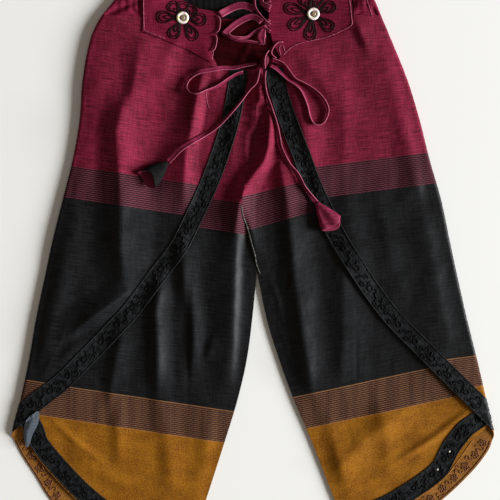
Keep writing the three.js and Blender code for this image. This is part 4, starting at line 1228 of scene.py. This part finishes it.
def embroidery(name, line, inward):
    """Raised stitches along a border, its motifs a little uneven, with a cord along each edge. The cords'
    lighter grey is partly a painted highlight along the border's edges.
    """
    side = name.split("_")[-1]
    length = spans(line).sum()
    draw = random.Random(len(name))
    strokes = []
    for start in np.arange(8, length - 12, REPEAT):
        for motif in MOTIFS:
            turn = draw.uniform(-0.35, 0.35)
            size = draw.uniform(0.88, 1.08)
            flip = draw.choice((-1, 1))
            for stroke in motif["strokes"]:
                shape = np.array(stroke, float) * (1, flip)
                along, depth = placed(shape, turn, size, start + motif["at"], motif["in"])
                depth = np.clip(depth, STITCH_MARGIN, TRIM_WIDTH - STITCH_MARGIN)
                route = on_strip(line, inward, along, depth)
                if within(side, route).all():
                    strokes.append(curve(route, 1.3))
    stitches = [flat_stroke(on_ground(stroke, 0.25, 0.4), STITCH_RADIUS) for stroke in strokes]
    edges = []
    for depth in (EDGE_CORD_IN, TRIM_WIDTH - EDGE_CORD_IN):
        along = np.arange(2, length - 2, 2.5)
        route = on_strip(line, inward, along, np.full(len(along), depth))
        route = route[within(side, route)]
        edges.append(tube_part(on_ground(route, 0.15, 0.3), EDGE_CORD_RADIUS))
    return [
        make_mesh(f"{name}_stitches", *joined(stitches), [border_thread], "embroidered_trim"),
        make_mesh(f"{name}_edge_cords", *joined(edges), [edge_cord_painted_highlight], "embroidered_trim"),
    ]


def hem_loops(side, hem):
    """Looped stitches and their outline on the wrong side of the back hem, where it shows past the front."""
    inward = -SIGN[side]
    length = spans(hem).sum()
    draw = random.Random(17)
    runs = []
    for start in np.arange(8, length - 16, HEM_REPEAT):
        turn, size = draw.uniform(-0.6, 0.6), draw.uniform(0.85, 1.1)
        for stitch in HEM_STITCHES:
            along, depth = placed(stitch, turn, size, start, HEM_STITCH_IN)
            runs.append(on_strip(hem, inward, along, np.clip(depth, *HEM_STITCH_RANGE)))
    steps = np.arange(2, length - 2, 3.0)
    runs.append(on_strip(hem, inward, steps, np.full(len(steps), HEM_OUTLINE_IN)))
    parts = []
    for run in runs:
        laid = on_ground(curve(run, 1.5), SHELL + 0.3, 0.3)
        open_part = laid[laid[:, 2] < OPEN_BELOW]
        if len(open_part) > 4:
            parts.append(tube_part(open_part, 0.6))
    make_mesh(f"wrap_hem_{side}_loops", *joined(parts), [wrong_thread], "embroidered_trim")


def raised_lines(name, lines, radius, look, slot):
    """Fine raised seams and edges."""
    parts = [tube_part(on_ground(curve(line, 1.5), 0.1, 0.3), radius) for line in lines]
    make_mesh(name, *joined(parts), [look], slot)


def border_turn():
    """The satin end of the left hem's border, turned up at the corner. Its light blue-grey colour is a
    painted sheen on the black border.
    """
    flat, faces = cut(curve(TURN_OUTLINE, 2, closed=True), 2.0)
    under = np.array([height_at(*p) for p in flat])
    level = np.maximum(under, np.percentile(under, 40))
    spine = np.interp(flat[:, 1], [-228, -205, -182], [-294, -292, -282])
    lean = np.clip((flat[:, 0] - spine) / 16, -0.3, 1)
    rise = np.where(lean < 0, 3.2 + lean * 6, 3.2 * (1 - lean)) + 0.35 * np.sin(flat[:, 1] * 0.55)
    points = np.column_stack([flat, level + 0.5 + rise])
    make_shell("hem_trim_left_turn", points, faces, flat, [painted_sheen_satin], "embroidered_trim", 0.4)


def spangles():
    parts = []
    for x, y in SPANGLES:
        points, faces = lathe(SPANGLE_PROFILE, 12, x, y, height_at(x, y))
        parts.append((points, faces, points[:, :2]))
    make_mesh("hem_spangles", *joined(parts), [spangle], "embroidered_trim")


def flower_strands(flower):
    """Plan lines of a flower's braid: three strands, one inside another, round each petal."""
    lines = []
    for angle, reach in flower["petals"]:
        c, s = math.cos(math.radians(angle)), math.sin(math.radians(angle))
        for inset, shorter in ((0, 0), (2.3, 2.6), (5.2, 9)):
            route = []
            for side, rows in ((-1, BRAID_PETAL), (1, BRAID_PETAL[-2::-1])):
                for along, width in rows:
                    out = BRAID_START + (reach - shorter - BRAID_START) * along
                    aside = side * max(width / 2 - inset, 0.25 if along < 1 else 0)
                    route.append((flower["x"] + c * out - s * aside, flower["y"] + s * out + c * aside))
            lines.append(curve(route, 1.2))
    return lines


def flower(side):
    """The braid flower of one side, and the button on its middle."""
    row = FLOWERS[side]
    x, y = row["x"], row["y"]
    parts = []
    for line in flower_strands(row):
        parts.append(tube_part(on_ground(line, BRAID_RADIUS * 0.75, BRAID_RADIUS), BRAID_RADIUS, 7))
    points, faces, cloth = joined(parts)
    node = f"flower_braid_{side}"
    make_mesh(f"{node}_cords", points, faces, cloth, [braid], "black_braid", node)
    level = max(height_at(x + 5 * i, y + 5 * j) for i in (-1, 0, 1) for j in (-1, 0, 1))
    lay(points, faces)
    button = f"button_{side}"
    for part, profile, count, look, node in (
        ("rim", BUTTON_RIM, 32, button_pearl, button),
        ("bead", BUTTON_BEAD, 24, button_bead, None),
    ):
        points, faces = lathe(profile, count, x, y, level + BUTTON_LIFT)
        make_mesh(f"{button}_{part}", points, faces, points[:, :2], [look], "pearl_button", node)


def knot():
    """The bow's knot: a pinched ball of cloth with a turn of tape over it. The ball's darker wine is painted
    shade of the knot's tight folds.
    """
    k = KNOT
    base = max(
        height_at(k["x"] + k["half_width"] * i / 2, k["y"] + k["half_length"] * j / 2)
        for i in range(-2, 3)
        for j in range(-2, 3)
    )
    rings = []
    for v in np.linspace(-1, 1, 15):
        r = math.sqrt(max(1 - (v * 0.985) ** 2, 0))
        ring = []
        for a in np.linspace(0, 2 * math.pi, 20, endpoint=False):
            pinch = 1 + 0.09 * math.sin(a * 5 + v * 3) + 0.05 * math.sin(a * 9 - v * 4)
            ring.append((
                k["x"] + k["half_width"] * 0.66 * r * math.cos(a) * pinch + v * 1.5,
                k["y"] + k["half_length"] * 0.92 * v,
                base + 0.2 + k["half_height"] * (1 + r * math.sin(a) * pinch) * 0.9,
            ))
        rings.append(np.array(ring))
    points, faces = rings_mesh(rings)
    cloth = np.column_stack([np.tile(np.linspace(-1, 1, 20), 15) * 0.5, points[:, 1]])
    make_mesh("bow_knot_cloth", points, faces, cloth, [knot_cloth], "wine_tape", "bow_knot")
    lay(points, faces)
    rings = tape(KNOT_TURN, 5, [(0, 84), (1, 76)])
    points, faces = rings_mesh(rings)
    cloth = np.column_stack([np.tile([s for s, _ in TAPE_SECTION], len(rings)), points[:, 1]])
    make_mesh("bow_knot_turn", points, faces, cloth, [tape_cloth], "wine_tape")


def bud(side):
    """A flattened bud of folded cloth, open at its mouth: a long lower leaf and a shorter upper one."""
    stem, tip = np.array(BUDS[side]["stem"], float), np.array(BUDS[side]["tip"], float)
    length = np.linalg.norm(tip - stem)
    ahead = (tip - stem) / length
    across = np.array([-ahead[1], ahead[0]])
    rows = np.array(BUD_SECTIONS, float)
    steps = np.linspace(0, 1, 22)
    half = np.interp(steps, rows[:, 0], rows[:, 1])
    tall = np.interp(steps, rows[:, 0], rows[:, 2])
    line = stem + ahead * (steps * length)[:, None]
    base = resting(line, half * 0.8) + 0.2
    outer, inner = [], []
    count = 28
    for k, t in enumerate(steps):
        for rings, wall in ((outer, 0.0), (inner, 0.8)):
            ring = []
            for i in range(count):
                a = 2 * math.pi * i / count
                groove = 1 - GROOVE[side] * smooth(t * 2) * math.exp(-(((math.cos(a) + 0.2) / 0.4) ** 2))
                flute = 1 + 0.05 * smooth(t * 2) * math.sin(a * 4 + 1) + 0.03 * math.sin(a * 7)
                reach = math.cos(a) * (half[k] - wall) * flute
                rise = tall[k] + math.sin(a) * (tall[k] - wall) * 0.92 * (groove if math.sin(a) > 0 else 1)
                back = max(math.sin(a), 0) * t * BUD_MOUTH[side] * length
                lip = smooth((t - 0.75) * 4) * 1.2 * math.sin(a * 3 + 2)
                corner = BUD_ROUNDING[side] * abs(math.cos(a)) ** 3 * smooth((t - 0.5) * 2)
                p = line[k] - ahead * (back + lip + corner) + across * reach
                ring.append((p[0], p[1], base[k] + rise))
            rings.append(np.array(ring))
    points, faces = rings_mesh(outer + inner[::-1], closed_ends=False)
    faces.append(tuple(range(count))[::-1])
    inner_faces = ((len(outer) - 1) * count, len(faces) - 1)
    looks = [black if side == "left" else bud_cloth, bud_cloth]
    node = f"lace_bud_{side}"
    piece = make_mesh(f"{node}_cloth", points, faces, points[:, :2], looks, "wine_tape", node, inner_faces)
    lay(points, faces)
    return piece


def casing(side):
    """Gathered elastic casing at one side, over the fold and down to the back band."""
    sign = SIGN[side]
    seam = SIDE_SEAM[side] + sign * GAP
    ys = np.linspace(PANEL_TOP + GAP, CASING_TOP, 12)
    seam_x = np.full(12, seam)
    under = np.column_stack([under_x(side, seam_x, ys), ys])
    outline = np.vstack([np.column_stack([seam_x, ys]), under[::-1]])

    def top(s, x, y):
        gathers = fold_field(CASING_CREASES[s], x, y)
        wave = np.sin((x - seam) * 0.62 + (y - PANEL_TOP) * 0.03 * sign) * smooth((y - PANEL_TOP) / 14)
        return petal_top(s, x, y) + gathers + wave * 0.6 * smooth(np.abs(x - fold_x(s, y)) / 6)

    flat, faces = cut(outline, SPACING * 0.75)
    points = over_fold(side, top, flat)
    rests_on = [f"wrap_panel_{side}"]
    panel(f"casing_{side}", flat, faces, points, flat, [wine], "wine_cloth", 1.0, rests_on)


def back_band():
    """The gathered back waistband, flat under the legs' top."""
    flat, faces = cut(np.array(BACK_BAND, float), SPACING)
    x, y = flat.T
    gathers = np.sin(x * 0.75 + 0.8 * np.sin(x * 0.11) + y * 0.05) * 0.35
    points = np.column_stack([flat, BACK_BAND_Z + gathers])
    rests_on = ["wrap_panel_left", "wrap_panel_right"]
    panel("waistband_back", flat, faces, points, flat, [black], "black_cloth", rests_on=rests_on)


def placket():
    """The underlap that shows behind the laced opening. Its darker wine is painted shade of its place under
    the lacing.
    """
    flat, faces = cut(np.array(PLACKET, float), SPACING)
    x, y = flat.T
    edge = smooth((PANEL_TOP - 6 - y) / 12)
    height = PLACKET_Z + fold_field(PLACKET_FOLDS, x, y) * edge + ripples(x, y, 31, 0.25, 12, 40)
    points = np.column_stack([flat, height])
    rests_on = ["front_panel_left", "front_panel_right"]
    panel("placket", flat, faces, points, flat, [shaded_wine], "dark_wine_cloth", rests_on=rests_on)


def wrap_panel(side):
    """The back of a leg, its outer fold and its petal. Returns the petal's free edge and the back hem."""
    outline, free, hem = wrap_cut(side)
    lower = np.column_stack([under_x(side, hem[:, 0], hem[:, 1]), hem[:, 1]])

    def fine(grid):
        run = SIGN[side] * (grid[:, 0] - fold_x(side, grid[:, 1]))
        return (run < 20) | near(grid, lower, 32)

    flat, faces = cut(outline, SPACING, fine)
    points = over_fold(side, petal_top, flat)
    cloth = np.column_stack([flat[:, 0], band_height(f"wrap_{side}", points[:, 0], flat[:, 1])])
    looks, rests_on = [banded, banded_wrong], [f"front_panel_{side}"]
    panel(f"wrap_panel_{side}", flat, faces, points, cloth, looks, "striped_cloth", rests_on=rests_on)
    return free, hem


def front_panel(side):
    """The front of a leg, coarse where the petal hides it. Returns its hem."""
    outline, hem = front_cut(side)

    def fine(grid):
        return SIGN[side] * (grid[:, 0] - edge_x(side, grid[:, 1])) < 14

    flat, faces = cut(outline, SPACING, fine)
    x, y = flat.T
    points = np.column_stack([flat, front_top(side, x, y)])
    cloth = np.column_stack([x, band_height(f"front_{side}", x, y)])
    looks, rests_on = [banded, banded_wrong], [f"wrap_panel_{side}"]
    panel(f"front_panel_{side}", flat, faces, points, cloth, looks, "striped_cloth", rests_on=rests_on)
    return hem


def border_strip(node, flat, faces, points, line, inward, under):
    """A border's strip, returned with its flat cut and the edge line its embroidery is made along later."""
    cloth = border_coordinates(flat, line)
    piece = panel(node, flat, faces, points, cloth, [border], "embroidered_trim", TRIM_SHELL)
    return node, piece, flat, faces, line, inward, under


def petal_trim(side, line):
    """The border along a petal's free edge."""
    sign = SIGN[side]
    corner = line[-1] + np.array([[sign * 3.2, -1.5], [sign * 6.4, -2.5]])
    flat, faces = cut(strip_cut(side, np.vstack([line, corner]), sign, 6.4), SPACING)
    points = over_fold(side, petal_top, flat)
    points = points + point_normals(points, faces) * PETAL_TRIM_LIFT
    points[:, 2] += ripples(flat[:, 0], flat[:, 1], 21, 0.12, 9, 22)
    return border_strip(f"petal_trim_{side}", flat, faces, points, line, sign, f"wrap_panel_{side}")


def hem_trim(side, hem):
    """The border along a front panel's curved hem."""
    sign = SIGN[side]
    inset = value_at(np.linspace(0, 1, len(hem)), HEM_INSET[side])
    line = offset(hem, -sign * inset[:, None])
    flat, faces = cut(strip_cut(side, line, -sign), SPACING)
    x, y = flat.T
    top = front_top(side, x, y) + HEM_TRIM_LIFT + ripples(x, y, 22, 0.08, 9, 22)
    points = np.column_stack([flat, top])
    return border_strip(f"hem_trim_{side}", flat, faces, points, line, -sign, f"front_panel_{side}")


def waistband(side):
    """The front waistband panel of one side."""
    flat, faces = cut(np.array(WAISTBAND[side], float), SPACING)
    points = np.column_stack([flat, petal_top(side, flat[:, 0], flat[:, 1]) + GAP + CLOTH])
    rests_on = [f"wrap_panel_{side}"]
    panel(f"waistband_{side}", flat, faces, points, flat, [wine], "wine_cloth", 1.1, rests_on)


banded = banded_cloth("banded_cloth")
banded_wrong = banded_cloth("banded_cloth_wrong_side", 0.7, wrong_side=True)
wine = plain_cloth("wine_cloth", srgb(58, 0, 10), srgb(136, 33, 64), 0.6, 0.07)
# Painted shade: the underlap is the waistband's wine made darker, for its recess under the lacing
shaded_wine = plain_cloth("dark_wine_cloth", srgb(18, 0, 2), srgb(62, 4, 10), 0.8, 0.04)
# Painted shade: the knot's cloth is the tape's wine made darker, for its tight folds
knot_cloth = plain_cloth("knot_cloth", srgb(44, 0, 12), srgb(98, 18, 44), 0.6, 0.1)
black = plain_cloth("black_cloth", srgb(5, 5, 5), srgb(16, 17, 17), 0.8, 0.1, 0.0)
border = border_cloth("embroidered_border")
# Painted sheen: the black border's turned-up corner is coloured light blue-grey
painted_sheen_satin = plain_cloth("border_painted_sheen", srgb(48, 54, 62), srgb(90, 98, 110), 0.4, 0.5)
border_thread = thread("border_thread", srgb(4, 4, 5), srgb(14, 15, 16), 0.6, 0.1)
# Edge cords: raised cords whose lighter grey is partly a painted highlight along the border's edges
edge_cord_painted_highlight = thread("edge_cord_painted_highlight", srgb(20, 21, 22), srgb(42, 43, 44), 0.5)
wrong_thread = thread("wrong_side_thread", srgb(62, 30, 14), srgb(140, 92, 64), 0.6)
seam_thread = thread("black_seam", srgb(40, 41, 40), srgb(104, 104, 98), 0.6)
mustard_thread = thread("mustard_edge", srgb(128, 78, 22), srgb(176, 124, 58), 0.6)
stitching = thread("wine_stitching", srgb(112, 40, 62), srgb(164, 92, 112), 0.6)
braid = thread("black_braid", srgb(10, 1, 3), srgb(34, 8, 14), 0.6, 0.12)
spangle = thread("spangle", srgb(196, 192, 180), srgb(236, 232, 220), 0.25)
tape_cloth = tape_painted_edge_highlight("wine_tape")
bud_cloth = plain_cloth("bud_cloth", srgb(72, 6, 26), srgb(148, 40, 76), 0.7, 0.2, 0.08)
button_pearl = pearl("button_pearl")
button_bead = bead("button_bead")

borders = []
lips = []
back_hems = {}
for side in ("left", "right"):
    petal_edge, back_hems[side] = wrap_panel(side)
    front_hem = front_panel(side)
    borders.append(petal_trim(side, petal_edge))
    borders.append(hem_trim(side, front_hem))
    lip = offset(front_hem, -SIGN[side] * 0.6)
    lips.append(lip[SIGN[side] * lip[:, 0] < LIP_START])
    waistband(side)
for side in ("left", "right"):
    casing(side)
back_band()
placket()
for node, piece, flat, faces, line, inward, under in borders:
    stitches = embroidery(node, line, inward)
for side in ("left", "right"):
    hem_loops(side, back_hems[side])
raised_lines("seam_lines", SEAM_LINES, 0.5, stitching, "wine_cloth")
raised_lines("crotch_seam_line", [CROTCH_SEAM], 0.8, seam_thread, "striped_cloth")
raised_lines("front_hem_lips", lips, 0.5, mustard_thread, "striped_cloth")
border_turn()
spangles()
for side in ("left", "right"):
    flower(side)
for node, width, roll, route in LACING:
    tape_piece(node, width, roll, route)
knot()
cords = {node: tape_piece(node, width, roll, route) for node, width, roll, route in FREE_CORDS}
buds = {f"lace_tail_{side}": [bud(side)] for side in ("left", "right")}


def studio():
    """The pale floor, the soft world light and one broad key light from the right."""
    mesh = bpy.data.meshes.new("floor")
    corners = [(x * FLOOR_HALF, y * FLOOR_HALF, 0) for x, y in ((-1, -1), (1, -1), (1, 1), (-1, 1))]
    mesh.from_pydata(corners, [], [(0, 1, 2, 3)])
    mesh.materials.append(Graph("floor", 0.9, 0.1).done(srgb(238, 238, 236)))
    floor = add_object("floor", mesh)
    floor.location.z = -0.0005
    world = bpy.data.worlds.new("studio")
    world.use_nodes = True
    back = world.node_tree.nodes["Background"]
    back.inputs[0].default_value = (1.0, 0.88, 0.74, 1.0)
    back.inputs[1].default_value = 0.2
    bpy.context.scene.world = world
    lamp = bpy.data.lights.new("key", "AREA")
    lamp.shape = "DISK"
    lamp.size, lamp.energy, lamp.color = 5.8, 4000, (0.97, 0.99, 1.0)
    key = add_object("key", lamp)
    key.location = KEY_PLACE
    key.rotation_euler = (-Vector(KEY_PLACE)).to_track_quat("-Z", "Y").to_euler()
    bpy.context.scene.view_settings.view_transform = "Standard"


def camera():
    """Straight above the garment, framed as in the photo."""
    data = bpy.data.cameras.new("camera")
    data.sensor_width = 36
    data.sensor_fit = "HORIZONTAL"
    data.lens = data.sensor_width * CAMERA_HEIGHT / PHOTO_WIDTH
    item = add_object("camera", data)
    item.location = (*CAMERA_PLACE, CAMERA_HEIGHT)
    bpy.context.scene.camera = item


studio()
camera()
